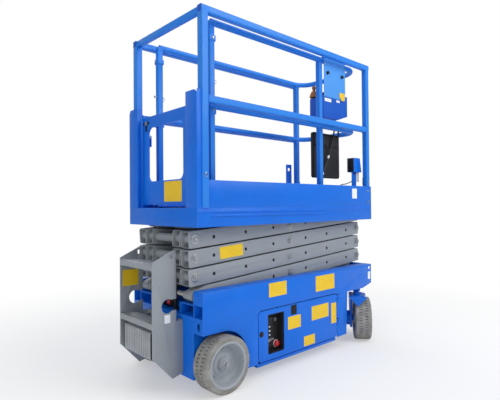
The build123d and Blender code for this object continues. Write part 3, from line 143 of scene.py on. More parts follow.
# ---------------------------------------------------------------- materials
def wire(tree, node, settings=None, links=None):
    """Sets a node's attributes and sockets, and links sockets to (node, output)."""
    for key, value in (settings or {}).items():
        if isinstance(key, str) and hasattr(node, key):
            setattr(node, key, value)
        else:
            node.inputs[key].default_value = value
    for key, (source, output) in (links or {}).items():
        tree.links.new(source.outputs[output], node.inputs[key])
    return node


def add_node(tree, kind, settings=None, links=None):
    """One shader node with its settings and links."""
    return wire(tree, tree.nodes.new("ShaderNode" + kind), settings, links)


def begin(name):
    """An empty material; returns the material, its tree, shader and object coordinates."""
    material = bpy.data.materials.new(name)
    material.use_nodes = True
    tree = material.node_tree
    tree.nodes.clear()
    shader = add_node(tree, "BsdfPrincipled")
    add_node(tree, "OutputMaterial", None, {"Surface": (shader, "BSDF")})
    return material, tree, shader, add_node(tree, "TexCoord")


def darker(colour, share):
    return tuple(c * share for c in colour[:3]) + (1.0,)


def lighter(colour, share):
    return tuple(c + (1 - c) * share for c in colour[:3]) + (1.0,)


def painted(name, colour, rough=0.36, peel=0.05, wear=0.35, coat=0.06, cloud=0.93):
    """Enamel on steel: cloudy shade, orange peel, smeared gloss, corners rubbed towards a paler coat."""
    material, tree, shader, coords = begin(name)
    large = add_node(tree, "TexNoise", {"Scale": 4.0, "Detail": 4.0}, {"Vector": (coords, "Object")})
    patches = add_node(tree, "MapRange", {"From Min": 0.35, "From Max": 0.65}, {"Value": (large, 0)})
    body = add_node(tree, "Mix", {"data_type": "RGBA", 6: darker(colour, cloud), 7: colour},
                    {0: (patches, 0)})
    rounded = add_node(tree, "Bevel", {"samples": 3, "Radius": 0.003})
    flat = add_node(tree, "NewGeometry")
    turn = add_node(tree, "VectorMath", {"operation": "DOT_PRODUCT"}, {0: (rounded, 0), 1: (flat, "Normal")})
    corner = add_node(tree, "MapRange", {"From Min": 0.99, "From Max": 0.86}, {"Value": (turn, "Value")})
    chips = add_node(tree, "TexNoise", {"Scale": 70.0, "Detail": 5.0, "Roughness": 0.7},
                     {"Vector": (coords, "Object")})
    rubbed = add_node(tree, "MapRange", {"From Min": 0.42, "From Max": 0.66, "To Max": wear},
                      {"Value": (chips, 0)})
    mask = add_node(tree, "Math", {"operation": "MULTIPLY"}, {0: (corner, 0), 1: (rubbed, 0)})
    coated = add_node(tree, "Mix", {"data_type": "RGBA", 7: lighter(colour, 0.45)},
                      {0: (mask, 0), 6: (body, 2)})
    smear = add_node(tree, "TexNoise", {"Scale": 16.0, "Detail": 4.0}, {"Vector": (coords, "Object")})
    gloss = add_node(tree, "MapRange", {"From Min": 0.3, "From Max": 0.7, "To Min": rough - 0.05,
                                        "To Max": rough + 0.1}, {"Value": (smear, 0)})
    skin = add_node(tree, "TexNoise", {"Scale": 220.0, "Detail": 2.0}, {"Vector": (coords, "Object")})
    bump = add_node(tree, "Bump", {"Strength": peel, "Distance": 0.001}, {"Height": (skin, 0)})
    wire(tree, shader, {"Specular IOR Level": 0.3, "Coat Weight": coat, "Coat Roughness": 0.15},
         {"Base Color": (coated, 2), "Roughness": (gloss, 0), "Normal": (bump, 0)})
    return material


def moulded(name, colour, rough, grain_mm=2.0, depth_mm=0.08, metallic=0.0, cloud=0.85, coat=0.0):
    """One moulded, cast or plated substance: two close shades, fine grain in the bump, uneven gloss."""
    material, tree, shader, coords = begin(name)
    large = add_node(tree, "TexNoise", {"Scale": 18.0, "Detail": 4.0}, {"Vector": (coords, "Object")})
    patches = add_node(tree, "MapRange", {"From Min": 0.35, "From Max": 0.65}, {"Value": (large, 0)})
    body = add_node(tree, "Mix", {"data_type": "RGBA", 6: darker(colour, cloud), 7: colour},
                    {0: (patches, 0)})
    gloss = add_node(tree, "MapRange", {"To Min": max(rough - 0.06, 0.02), "To Max": min(rough + 0.08, 1.0)},
                     {"Value": (patches, 0)})
    grain = add_node(tree, "TexNoise", {"Scale": 1 / (grain_mm * MM), "Detail": 3.0},
                     {"Vector": (coords, "Object")})
    bump = add_node(tree, "Bump", {"Strength": 0.6, "Distance": depth_mm * MM}, {"Height": (grain, 0)})
    wire(tree, shader, {"Metallic": metallic, "Coat Weight": coat},
         {"Base Color": (body, 2), "Roughness": (gloss, 0), "Normal": (bump, 0)})
    return material


def rubber_tread(name, colour):
    """Scuffed solid rubber: dusty patches over the bare compound, fine pits, no gloss."""
    material, tree, shader, coords = begin(name)
    dust = add_node(tree, "TexNoise", {"Scale": 22.0, "Detail": 6.0, "Roughness": 0.65},
                    {"Vector": (coords, "Object")})
    patches = add_node(tree, "MapRange", {"From Min": 0.38, "From Max": 0.62}, {"Value": (dust, 0)})
    body = add_node(tree, "Mix", {"data_type": "RGBA", 6: darker(colour, 0.72), 7: lighter(colour, 0.04)},
                    {0: (patches, 0)})
    scuffs = add_node(tree, "TexNoise", {"Scale": 130.0, "Detail": 4.0, "Roughness": 0.75},
                      {"Vector": (coords, "Object")})
    marks = add_node(tree, "MapRange", {"From Min": 0.58, "From Max": 0.7, "To Max": 0.5},
                     {"Value": (scuffs, 0)})
    worn = add_node(tree, "Mix", {"data_type": "RGBA", 7: darker(colour, 0.45)},
                    {0: (marks, 0), 6: (body, 2)})
    bump = add_node(tree, "Bump", {"Strength": 0.7, "Distance": 0.0006}, {"Height": (scuffs, 0)})
    wire(tree, shader, {"Roughness": 0.88}, {"Base Color": (worn, 2), "Normal": (bump, 0)})
    return material


def tread_plate(name, colour):
    """Enamelled floor plate with raised bars crossing at right angles, rubbed bright on their tops."""
    material, tree, shader, coords = begin(name)
    bars = []
    for turn in (45.0, -45.0):
        turned = add_node(tree, "Mapping", {"Rotation": (0.0, 0.0, math.radians(turn))},
                          {"Vector": (coords, "Object")})
        wave = add_node(tree, "TexWave", {"Scale": 11.0, "Distortion": 0.0}, {"Vector": (turned, 0)})
        bars.append(add_node(tree, "MapRange", {"From Min": 0.7, "From Max": 0.85}, {"Value": (wave, 1)}))
    crossed = add_node(tree, "Math", {"operation": "MULTIPLY"}, {0: (bars[0], 0), 1: (bars[1], 0)})
    body = add_node(tree, "Mix", {"data_type": "RGBA", 6: darker(colour, 0.85), 7: lighter(colour, 0.25)},
                    {0: (crossed, 0)})
    bump = add_node(tree, "Bump", {"Strength": 1.0, "Distance": 0.0012}, {"Height": (crossed, 0)})
    wire(tree, shader, {"Roughness": 0.42}, {"Base Color": (body, 2), "Normal": (bump, 0)})
    return material


FINISH = {}


def make_finishes(look):
    """Every finish of the lift, by the short name that the pieces ask for."""
    FINISH.update({
        # saturated azure gloss, faintly clouded, paler where corners rub
        "blue": painted("Azure enamel on folded steel", tuple(look.blue)),
        # the same enamel, lighter on the tubes as painted light from above, a little rougher and more rubbed
        # at corners
        "rail": painted("Azure enamel on steel tube", tuple(look.rail), rough=0.42, wear=0.5),
        # deeper, flatter blue of the control box
        "box": painted("Deep blue enamel on sheet", tuple(look.box), rough=0.4),
        # flat pale blue of the hanger plate
        "hanger": painted("Pale blue enamel on plate", tuple(look.hanger), rough=0.5, coat=0.0),
        # dull grey with light scuffed corners
        "grey": painted("Grey enamel on box tube", tuple(look.grey), rough=0.48, wear=0.75, coat=0.05),
        # rougher casting skin under light grey paint
        "wheel": painted("Light grey enamel on cast wheel", tuple(look.wheel), 0.5, 0.2, 0.8, 0.05),
        # floor plate with worn bars
        "deck": tread_plate("Azure enamel on tread plate", tuple(look.blue)),
        # mirror-bright, nearly even
        "chrome": moulded("Hard chrome on steel", linear("#C9CBCD"), 0.1, 0.6, 0.01, 1.0, 0.95),
        # dull bright steel of heads, washers and pins
        "zinc": moulded("Zinc plated steel", linear("#B9BCBE"), 0.34, 1.5, 0.06, 1.0, 0.8),
        # turned shaft, paler than the arms
        "shaft": moulded("Ground steel shaft", linear("#C4C6C7"), 0.3, 1.0, 0.03, 0.8, 0.9),
        # soft grey sheen with sand-cast grain
        "cast": moulded("Cast aluminium, anodised", linear("#C9CCD0"), 0.5, 1.6, 0.15, 0.25),
        # rippled silver bead, paint burnt back
        "weld": moulded("Weld bead under grey enamel", linear("#8E9499"), 0.5, 4.0, 0.8),
        "blue_weld": moulded("Weld bead under azure enamel", tuple(look.blue), 0.45, 4.0, 0.8),
        # dusty tan compound with dark scuffs
        "rubber": rubber_tread("Non-marking tyre rubber", tuple(look.tyre)),
        # painted shade: near-black inside the tread's slits
        "slit": moulded("Shadowed tyre slit", darker(tuple(look.tyre), 0.2), 0.9, 3.0, 0.3),
        # leather-grained black of panels and the case
        "black": moulded("Textured ABS, black", tuple(look.black), 0.5, 1.2, 0.12),
        # smooth black hose and cable jacket
        "jacket": moulded("Cable jacket, black PVC", linear("#141416"), 0.38, 3.0, 0.05),
        # matt black of gaskets, grommets and straps
        "gasket": moulded("Black rubber", linear("#0E0E0F"), 0.7, 2.0, 0.1),
        # vivid moulded red
        "red": moulded("Moulded red plastic", tuple(look.red), 0.3, 2.0, 0.02, coat=0.3),
        # plain satin vinyl, faintly mottled
        "yellow": moulded("Yellow vinyl label, blank", tuple(look.yellow), 0.4, 8.0, 0.02, 0.0, 0.93),
        "white": moulded("White vinyl label, blank", tuple(look.white), 0.4, 8.0, 0.02, 0.0, 0.94),
        # waxy tan of the worn grip
        "tan": moulded("Moulded grip, tan", tuple(look.tan), 0.5, 2.0, 0.1),
        # battery cases and covers
        "case": moulded("Polypropylene battery case", linear("#26282B"), 0.55, 1.5, 0.1),
        "lead": moulded("Lead terminal", linear("#8A8C8F"), 0.45, 1.2, 0.1, 0.9),
    })


# ---------------------------------------------------------------- modelling
def at(x, y, z):
    """A place in the lift's drawing, in millimetres, as a place in the scene."""
    return Vector((x * MM + SHIFT, y * MM, z * MM))


def alone(obj):
    """Only obj is selected and active."""
    bpy.ops.object.select_all(action="DESELECT")
    obj.select_set(True)
    bpy.context.view_layer.objects.active = obj


def primitive(kind, name, **settings):
    """A mesh primitive at its size and place, with the place in the mesh."""
    bpy.ops.object.select_all(action="DESELECT")
    getattr(bpy.ops.mesh, "primitive_%s_add" % kind)(**settings)
    obj = bpy.context.view_layer.objects.active
    obj.name = name
    bpy.ops.object.transform_apply(location=True, rotation=True, scale=True)
    return obj


def edit(obj, mode="VERT", chosen=None):
    """Into edit mode with everything selected, or the faces whose centre and normal pass the test."""
    alone(obj)
    if chosen:
        for part in (obj.data.vertices, obj.data.edges):
            part.foreach_set("select", [False] * len(part))
        for face in obj.data.polygons:
            face.select = bool(chosen(face.center, face.normal))
        mode = "FACE"
        # in vertex mode, faces that lie between the chosen ones would be selected too
        bpy.context.tool_settings.mesh_select_mode = (False, False, True)
    bpy.ops.object.mode_set(mode="EDIT")
    bpy.ops.mesh.select_mode(type=mode)
    if not chosen:
        bpy.ops.mesh.select_all(action="SELECT")


def leave():
    bpy.ops.object.mode_set(mode="OBJECT")


def use_modifier(obj, kind, **settings):
    """Adds a modifier, sets it and applies it."""
    alone(obj)
    made = obj.modifiers.new(kind.title(), kind)
    for key, value in settings.items():
        setattr(made, key, value)
    bpy.ops.object.modifier_apply(modifier=made.name)


def break_edges(obj, width_mm, segments=2, angle=40):
    use_modifier(obj, "BEVEL", width=width_mm * MM, segments=segments, limit_method="ANGLE",
                 angle_limit=math.radians(angle), use_clamp_overlap=True)
    return obj


def block(name, x, y, z, edge=1.0, segments=2, tilt=0.0):
    """A block between pairs of x, y and z, tilted about the axis across the lift, with its edges broken."""
    low, high = at(min(x), min(y), min(z)), at(max(x), max(y), max(z))
    obj = primitive("cube", name, size=1, location=(low + high) / 2, scale=high - low, rotation=(0, tilt, 0))
    edit(obj)
    bpy.ops.mesh.bevel(offset=edge * MM, segments=segments, affect="EDGES")
    leave()
    return obj


def rod(name, start, end, radius, sides=24, edge=1.0, tip=None):
    """A round bar between two drawing places, with its rims broken; tip is the far radius of a taper."""
    a, b = at(*start), at(*end)
    turn = (b - a).to_track_quat("Z", "Y").to_euler()
    tip = radius if tip is None else tip
    obj = primitive("cone", name, vertices=sides, radius1=radius * MM, radius2=tip * MM, depth=(b - a).length,
                    location=(a + b) / 2, rotation=turn)
    return break_edges(obj, edge, 2, 50) if edge else obj


def ring(name, place, along, major, minor, steps=(32, 8)):
    """A torus round a drawing place, facing along a direction."""
    turn = Vector(along).to_track_quat("Z", "Y").to_euler()
    return primitive("torus", name, location=at(*place), rotation=turn, major_radius=major * MM,
                     minor_radius=minor * MM, major_segments=steps[0], minor_segments=steps[1])


def copy_of(obj, offset=(0, 0, 0), turn=0.0, axis="Z", centre=(0, 0, 0), mirror=False):
    """A copy with its own mesh: turned about a drawing place, mirrored across the middle, then moved."""
    alone(obj)
    bpy.ops.object.duplicate(linked=False)
    made = bpy.context.view_layer.objects.active
    edit(made)
    if turn:
        # this operator counts turns clockwise
        bpy.ops.transform.rotate(value=-turn, orient_axis=axis, orient_type="GLOBAL",
                                 center_override=at(*centre))
    if mirror:
        bpy.ops.transform.mirror(constraint_axis=(False, True, False), center_override=(0, 0, 0))
    bpy.ops.transform.translate(value=Vector(offset) * MM)
    leave()
    return made


def join(name, parts):
    """Several pieces as one."""
    bpy.ops.object.select_all(action="DESELECT")
    for part in parts:
        part.select_set(True)
    bpy.context.view_layer.objects.active = parts[0]
    if len(parts) > 1:
        bpy.ops.object.join()
    parts[0].name = name
    return parts[0]


def settle(obj, body, finish, smooth=40.0):
    """A finished piece: faces outwards, smooth by angle, with its finish and body."""
    edit(obj)
    bpy.ops.mesh.normals_make_consistent(inside=False)
    leave()
    bpy.ops.object.shade_smooth_by_angle(angle=math.radians(smooth))
    if finish:
        obj.data.materials.clear()
        obj.data.materials.append(FINISH[finish])
    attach(obj, body)
    return obj


def fit(name, parts, body, finish):
    """Several parts made one piece, settled on its body."""
    return settle(join(name, parts), body, finish)


def paint(obj, finish, chosen):
    """A second finish on the faces whose centre and normal pass the test."""
    edit(obj, chosen=chosen)
    bpy.ops.object.material_slot_add()
    obj.active_material = FINISH[finish]
    bpy.ops.object.material_slot_assign()
    leave()
    return obj


def drawn(point):
    """A scene place as millimetres in the drawing."""
    return Vector(((point.x - SHIFT) / MM, point.y / MM, point.z / MM))


def plate(name, x, y, z, body, finish):
    """A thin plate or label, settled on its body."""
    return settle(block(name, x, y, z, 0.3, 1), body, finish)


def dress(node, finish, edge=None, segments=2, smooth=35.0):
    """A solid of the frame as it leaves the paint shop: the same shape with its edges broken."""
    source = frame["nodes"][node]
    alone(source)
    bpy.ops.object.duplicate(linked=False)
    piece = bpy.context.view_layer.objects.active
    piece.name = node + "_finished"
    for key in [k for k in piece.keys() if k.startswith("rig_")]:
        del piece[key]
    bpy.ops.object.parent_clear(type="CLEAR_KEEP_TRANSFORM")
    edit(piece)
    bpy.ops.mesh.remove_doubles(threshold=0.00001)
    bpy.ops.mesh.dissolve_limited(angle_limit=math.radians(0.5))
    leave()
    if edge is None:
        edge = bpy.context.scene.lift_sizes.edge / MM
    if edge:
        break_edges(piece, edge, segments)
    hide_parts(node)
    return settle(piece, BODY[node], finish, smooth)


def on_arm(level, along, y, across=0.0, outer=True):
    """A drawing place on an arm, along and across it from its middle."""
    slope = SLOPE if outer else -SLOPE
    return (CENTRE_X + along * math.cos(slope) - across * math.sin(slope), y,
            PIN_Z + (level - 0.5) * PITCH + along * math.sin(slope) + across * math.cos(slope))


def cord_along(name, points, radius, steps=12, rings=5):
    """A round cord on a smooth curve through control points in drawing places."""
    bpy.ops.object.select_all(action="DESELECT")
    bpy.ops.curve.primitive_nurbs_path_add(location=(0, 0, 0))
    cord = bpy.context.view_layer.objects.active
    cord.name = name
    spline = cord.data.splines[0]
    spline.points.add(len(points) - len(spline.points))
    for control, place in zip(spline.points, points):
        control.co = tuple(at(*place)) + (1.0,)
    spline.order_u = 3
    spline.use_endpoint_u = True
    spline.resolution_u = steps
    cord.data.bevel_depth = radius * MM
    cord.data.bevel_resolution = rings
    cord.data.use_fill_caps = True
    return cord


def line_along(name, points, radius, steps=6):
    """A pipe or hose along a cord's curve, as a closed mesh."""
    line = cord_along(name, points, radius, steps, 2)
    alone(line)
    bpy.ops.object.convert(target="MESH")
    edit(line)
    bpy.ops.mesh.remove_doubles(threshold=0.00001)
    leave()
    return line


# ---------------------------------------------------------------- operators
class LIFT_OT_finishes(bpy.types.Operator):
    """Makes the enamel, steel, rubber and plastic finishes in the chosen colours"""
    bl_idname = "lift.finishes"
    bl_label = "Finishes"

    def execute(self, context):
        make_finishes(context.scene.lift_colours)
        return {"FINISHED"}


class LIFT_OT_chassis(bpy.types.Operator):
    """Chassis plates, trays, guards and steering, with bolts, hinge pins and hardware"""
    bl_idname = "lift.chassis"
    bl_label = "Chassis and trays"

    def execute(self, context):
        for node in ("chassis_pan", "underframe", "side_plate_right", "side_plate_left",
                     "slide_channel_right", "slide_channel_left", "control_tray", "battery_tray",
                     "pothole_guard_right", "pothole_guard_left", "knuckle_right", "knuckle_left"):
            dress(node, "blue")
        dress("tie_rod", "zinc", 0.8)
        for node in ("ground_controls", "power_unit", "battery_pack"):
            dress(node, "case" if node == "battery_pack" else "black", 2.0, 3)
        for name, side in SIDES:
            tray = "control_tray" if side < 0 else "battery_tray"
            # hinge pins with domed heads, turning with the tray
            pins = [rod("pin", (TRAY_HINGE_X, side * CHASSIS_Y, z - 3),
                        (TRAY_HINGE_X, side * CHASSIS_Y, z + 25), 4, 16, 0.8) for z in (183, 350)]
            fit("hinge_pins_" + name, pins, tray, "zinc")
            # turn latch: round plate, shank and slotted knob
            latch = [rod("latch", (-287, side * y0, 250), (-287, side * y1, 250), r, 24, 0.8)
                     for y0, y1, r in ((CHASSIS_Y - 1, CHASSIS_Y + 1.6, 17),
                                       (CHASSIS_Y + 1, CHASSIS_Y + 6, 10))]
            latch.append(block("slot", (-289, -285), (side * (CHASSIS_Y + 5), side * (CHASSIS_Y + 8)),
                               (242, 258), 0.8))
            fit("tray_latch_" + name, latch, tray, "black")
            # bearing cap of the stack's pivot shaft, a ring with four bolts
            cap = [ring("cap", (PIN_LEFT_X, side * 280, PIN_Z), (0, 1, 0), 20, 2.5)]
            for turn in range(4):
                angle = math.radians(45 + 90 * turn)
                place = (PIN_LEFT_X + 24 * math.cos(angle), PIN_Z + 22 * math.sin(angle))
                cap.append(rod("bolt", (place[0], side * 281, place[1]), (place[0], side * 277, place[1]), 4,
                               6, 0.5))
            fit("bearing_cap_" + name, cap, "chassis", "zinc")
            # bolts of the ladder's flange
            bolts = [rod("bolt", (x0, side * 164, z), (x1, side * 164, z), r, sides, edge)
                     for z in (130, 240, 350) for x0, x1, r, sides, edge in ((-709, -711, 11, 20, 0.5),
                                                                             (-711, -718, 8, 6, 0.8))]
            fit("flange_bolts_" + name, bolts, "chassis", "zinc")
            # weld beads where pocket, channel and wheel well meet the pan
            beads = [rod("bead", (-700, side * y, z), (x1, side * y, z), 2.6, 8, 0)
                     for y, z, x1 in ((156, 407, -642), (286, 407, 800), (284, 398, -400))]
            beads += [rod("bead", (x, side * 76, z), (x, side * 76, 396), 2.6, 8, 0)
                      for x, z in ((545, 76), (-400, 84))]
            fit("chassis_welds_" + name, beads, "chassis", "blue_weld")
            # kingpin caps and the bolts that hold the drive motor's flange
            turned = lambda u, v, z: (KINGPIN[0] + u * math.cos(TURN) - v * math.sin(TURN),
                                      side * KINGPIN[1] + u * math.sin(TURN) + v * math.cos(TURN), z)
            nuts = []
            for turn in range(6):
                angle = math.radians(60 * turn)
                u, z = 40 * math.cos(angle), TYRE_R + 40 * math.sin(angle)
                nuts.append(rod("bolt", turned(u, -side * 110, z), turned(u, -side * 116, z), 6, 6, 0.6))
            nuts += [rod("bolt", turned(u, side * v, 331), turned(u, side * v, 337), 7, 6, 0.6)
                     for u, v in ((-34, -40), (34, -40), (-28, 36), (28, 36))]
            fit("knuckle_bolts_" + name, nuts, "knuckle_" + name, "zinc")
        # gusset over the shoulder of each front tyre, hung from a shelf of the yoke, with its nut
        gusset = block("gusset", (634, 640), (-370, -242), (246, 332), 0.3, 1)
        for corner, across in (((637, -370, 320), (0, -74, -93)), ((637, -242, 330), (0, 84, -35))):
            edit(gusset)
            bpy.ops.mesh.bisect(plane_co=at(*corner), plane_no=across, use_fill=True, clear_outer=True)
            leave()
        gusset = join("gusset", [gusset, block("shelf", (636, 712), (-362, -250), (318, 332), 1.0)])
        nut = rod("gusset_nut", (650, -350, 331), (650, -350, 342), 9, 6, 1.0)
        for name, side in SIDES:
            for part, finish in ((gusset, "blue"), (nut, "zinc")):
                made = copy_of(part, (0, 0, 0), side * -TURN, "Z", (KINGPIN[0], -KINGPIN[1], 0), side > 0)
                made.name = "yoke_%s_%s" % (part.name, name)
                settle(made, "knuckle_" + name, finish)
        bpy.data.objects.remove(gusset)
        bpy.data.objects.remove(nut)
        # hard hydraulic lines along the spine
        for index, y in enumerate((84, 98)):
            line = line_along("brake_line_%d" % index, ((-380, -y, 380), (-300, -y, 384), (200, -y, 384),
                                                         (430, -y, 384), (535, -y, 360)), 4.0)
            settle(line, "chassis", "jacket")
        # manifold valves, filler cap and motor terminals of the power unit
        fittings = [rod("valve", (x, y, 325), (x, y, 352), 9, 16, 1.5) for x in (15, 45, 75, 100)
                    for y in (-250, -222)]
        fittings.append(rod("filler", (130, -180, 290), (130, -180, 312), 22, 24, 2))
        fittings += [rod("post", (x, -215, 250), (x, -215, 262), 6, 12, 1) for x in (200, 260)]
        fit("power_unit_fittings", fittings, "control_tray", "zinc")
        rings = [ring("seam", (x, -225, 190), (1, 0, 0), 62, 1.6, (48, 6)) for x in (162, 215, 335)]
        fit("motor_seams", rings, "control_tray", "cast")
        # terminals, cable bars and caps of the four batteries
        posts, caps = [], []
        for i in (0, 1):
            for j in (0, 1):
                x0, y0 = -20 + i * 206, 110 + j * 119
                posts += [rod("post", (x0 + dx, y0 + 20, 329), (x0 + dx, y0 + 20, 345), 8, 16, 1)
                          for dx in (24, 170)]
                caps += [rod("cap", (x0 + 40 + k * 56, y0 + 78, 329), (x0 + 40 + k * 56, y0 + 78, 337), 13,
                             20, 2) for k in range(3)]
        bars = [block("bar", (142, 216), (y - 7, y + 7), (341, 346), 1.0) for y in (130, 249)]
        fit("battery_posts", posts, "battery_tray", "lead")
        fit("battery_caps", caps, "battery_tray", "yellow")
        fit("battery_links", bars, "battery_tray", "red")
        return {"FINISHED"}


class LIFT_OT_arms(bpy.types.Operator):
    """Scissor arms, pin heads, grommets, welds and the lift cylinder"""
    bl_idname = "lift.arms"
    bl_label = "Scissor stack"

    def execute(self, context):
        sizes = context.scene.lift_sizes
        for level in range(1, LEVELS + 1):
            outer, inner = "outer_arm_%d" % level, "inner_arm_%d" % level
            dress(outer, "grey", sizes.arm_edge / MM, 3)
            dress(inner, "grey", sizes.arm_edge / MM, 3)
            heads = [0.0] + ([] if level == 1 else [-SPAN / 2]) + ([] if level == LEVELS else [SPAN / 2])
            washers, crowns, plugs = [], [], []
            for side in (-1, 1):
                for along in heads:
                    start = on_arm(level, along, side * (ARM_Y - 1))
                    washers.append(rod("washer", start, on_arm(level, along, side * (ARM_Y + 3)),
                                       sizes.washer / MM, 32, 0.8))
                    washers.append(rod("stud", on_arm(level, along, side * (ARM_Y + 9)),
                                       on_arm(level, along, side * (ARM_Y + 13)), 9, 20, 1.2))
                    # castellations round the stud
                    for turn in range(6):
                        angle = math.radians(60 * turn)
                        u, v = 13 * math.cos(angle), 13 * math.sin(angle)
                        crowns.append(rod("crown", on_arm(level, along + u, side * (ARM_Y + 9), v),
                                          on_arm(level, along + u, side * (ARM_Y + 12), v), 3.6, 8, 0.5))
                for share in DRILLED:
                    along = -SPAN / 2 + SPAN * share
                    plugs.append(rod("plug", on_arm(level, along, side * (ARM_Y - 7)),
                                     on_arm(level, along, side * (ARM_Y - 2)), 10.4, 20, 1.0))
            fit("pin_washers_%d" % level, washers + crowns, outer, "zinc")
            fit("hole_grommets_%d" % level, plugs, outer, "gasket")
            # weld beads round the cross tubes
            beads = [ring("bead", on_arm(level, along, y, 0, False), (0, 1, 0), 26, sizes.bead / MM)
                     for along in (-SPAN / 2, SPAN / 2) for y in (-105, 105)]
            fit("cross_tube_welds_%d" % level, beads, inner, "weld")
        # collars of the lowest pivot shaft
        collars = [ring("collar", (PIN_LEFT_X, y, PIN_Z), (0, 1, 0), 17, 2.2, (32, 8))
                   for y in (-60, -30, 30, 60)]
        fit("shaft_rings", collars, "outer_arm_1", "gasket")
        shaft = rod("pivot_shaft", (PIN_LEFT_X, -174, PIN_Z), (PIN_LEFT_X, 174, PIN_Z), 16.4, 40, 1.0)
        settle(shaft, "outer_arm_1", "shaft")
        # the lift cylinder: painted barrel, plated rod, gland and its hard line
        dress("cylinder_barrel", "grey", 1.5)
        dress("cylinder_rod", "chrome", 0.8)
        foot, head = Vector((-524.431, 0, 541.614)), Vector((582.508, 0, 811.086))
        ahead = (head - foot).normalized()
        up = Vector((-ahead.z, 0, ahead.x))
        spot = lambda along, above, y=0.0: tuple(foot + ahead * along + up * above + Vector((0, y, 0)))
        fittings = [rod("port", spot(x, 38), spot(x, 58), 11, 6, 1) for x in (80, 900)]
        fit("cylinder_ports", fittings, "cylinder_barrel", "zinc")
        line = line_along("cylinder_line", (spot(82, 50), spot(100, 54, 18), spot(150, 20, 50),
                                            spot(500, 0, 51), spot(830, 20, 50), spot(882, 54, 18),
                                            spot(898, 50)), sizes.line / MM)
        settle(line, "cylinder_barrel", "zinc")
        clamps = [ring("clamp", spot(x, 0), tuple(ahead), 44, 2.4, (40, 8)) for x in (240, 760)]
        fit("cylinder_clamps", clamps, "cylinder_barrel", "zinc")
        return {"FINISHED"}


class LIFT_OT_wheels(bpy.types.Operator):
    """Tyres with rows of slits, cast wheels, castle nuts and split pins"""
    bl_idname = "lift.wheels"
    bl_label = "Wheels"

    def execute(self, context):
        sizes = context.scene.lift_sizes
        count = sizes.slits
        # one tyre at the rear right wheel: bored cylinder, rounded shoulders
        x0, y0, z0 = REAR_AXLE[0], -REAR_AXLE[1], TYRE_R
        hub_side = lambda c, n: abs(n.y) > 0.99
        tyre = primitive("cylinder", "tyre", vertices=count * 2, radius=TYRE_R * MM, depth=TYRE_W * MM,
                         location=at(x0, y0, z0), rotation=(math.pi / 2, 0, 0))
        edit(tyre, chosen=hub_side)
        bpy.ops.mesh.bevel(offset=10 * MM, segments=4, affect="EDGES")
        leave()
        edit(tyre, chosen=hub_side)
        bpy.ops.mesh.inset(thickness=8 * MM, depth=-1.2 * MM)
        bpy.ops.mesh.inset(thickness=10.5 * MM, depth=0)
        bpy.ops.mesh.delete(type="FACE")
        bpy.ops.mesh.select_mode(type="EDGE")
        bpy.ops.mesh.select_non_manifold()
        bpy.ops.mesh.bridge_edge_loops()
        leave()
        # two staggered rows of slits across the tread
        edit(tyre)
        for y in (-34, -8, 8, 34):
            bpy.ops.mesh.select_all(action="SELECT")
            bpy.ops.mesh.bisect(plane_co=at(x0, y0 + y, z0), plane_no=(0, 1, 0))
        leave()

        def in_row(centre, normal):
            place = drawn(centre) - Vector((x0, y0, z0))
            angle = math.atan2(place.z, place.x)
            step = math.floor(angle / math.pi * count)
            on_tread = abs(math.hypot(place.x, place.z) - TYRE_R) < 1.0
            return on_tread and 8 < abs(place.y) < 34 and (step + (place.y > 0)) % 2

        edit(tyre, chosen=in_row)
        bpy.ops.mesh.inset(thickness=2.4 * MM, use_individual=True)
        bpy.ops.mesh.inset(thickness=0.3 * MM, depth=-sizes.slit, use_individual=True)
        leave()
        tyre.data.materials.append(FINISH["rubber"])
        floor = TYRE_R - sizes.slit / MM + 0.4

        def slit_floor_shade(centre, normal):
            place = drawn(centre) - Vector((x0, y0, z0))
            return 130 < math.hypot(place.x, place.z) < floor and 8 < abs(place.y) < 34

        # painted shade: the slit floors take the near-black finish
        paint(tyre, "slit", slit_floor_shade)
        # fittings of one hub: turned ribs, castle nut, split pin, grease cap, casting lugs
        ribs = [ring("rib", (x0, y0 - w, z0), (0, 1, 0), r, t, (64, 8))
                for r, w, t in ((37, 20, 2.2), (30, 29, 2.0), (22.5, 35, 1.8), (62, 9.4, 1.6), (84, 5.4, 1.6),
                                (106.5, 36, 1.6), (118, 57.5, 1.4))]
        nut = [rod("nut", (x0, y0 - 39, z0), (x0, y0 - 48, z0), 15, 6, 1.0),
               rod("cap", (x0, y0 - 47, z0), (x0, y0 - 52, z0), 9.5, 24, 1.5),
               rod("pin", (x0 - 17, y0 - 49.5, z0 + 3), (x0 + 17, y0 - 49.5, z0 - 3), 1.6, 8, 0)]
        for turn in range(8):
            angle = math.radians(45 * turn)
            x, z = x0 + 73 * math.cos(angle), z0 + 73 * math.sin(angle)
            ribs.append(rod("lug", (x, y0 - 5, z), (x, y0 - 10, z), 7, 12, 1.2, 5.5))
        ribs, nut = join("hub_ribs", ribs), join("axle_nut", nut)
        spots = {"rear_right": (x0, y0, 0.0), "rear_left": (x0, -y0, 0.0)}
        for name, side in SIDES:
            spots["front_" + name] = (KINGPIN[0] - side * WHEEL_OFFSET * math.sin(TURN),
                                      side * (KINGPIN[1] + WHEEL_OFFSET * math.cos(TURN)), TURN)
        for name, (x, y, turn) in spots.items():
            left = y > 0
            move = (x - x0, y - (-y0 if left else y0), 0)
            for part, node, finish in ((tyre, "tyre_" + name, None), (ribs, None, "wheel"),
                                       (nut, None, "zinc")):
                made = copy_of(part, move, -turn if left else turn, "Z", (x0, y0, z0), left)
                made.name = "%s_%s%s" % (part.name, name, "_finished" if node else "")
                settle(made, "wheel_" + name, finish)
                if node:
                    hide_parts(node)
            dress("hub_" + name, "wheel", 1.2, 2, 30)
        for part in (tyre, ribs, nut):
            bpy.data.objects.remove(part)
        return {"FINISHED"}


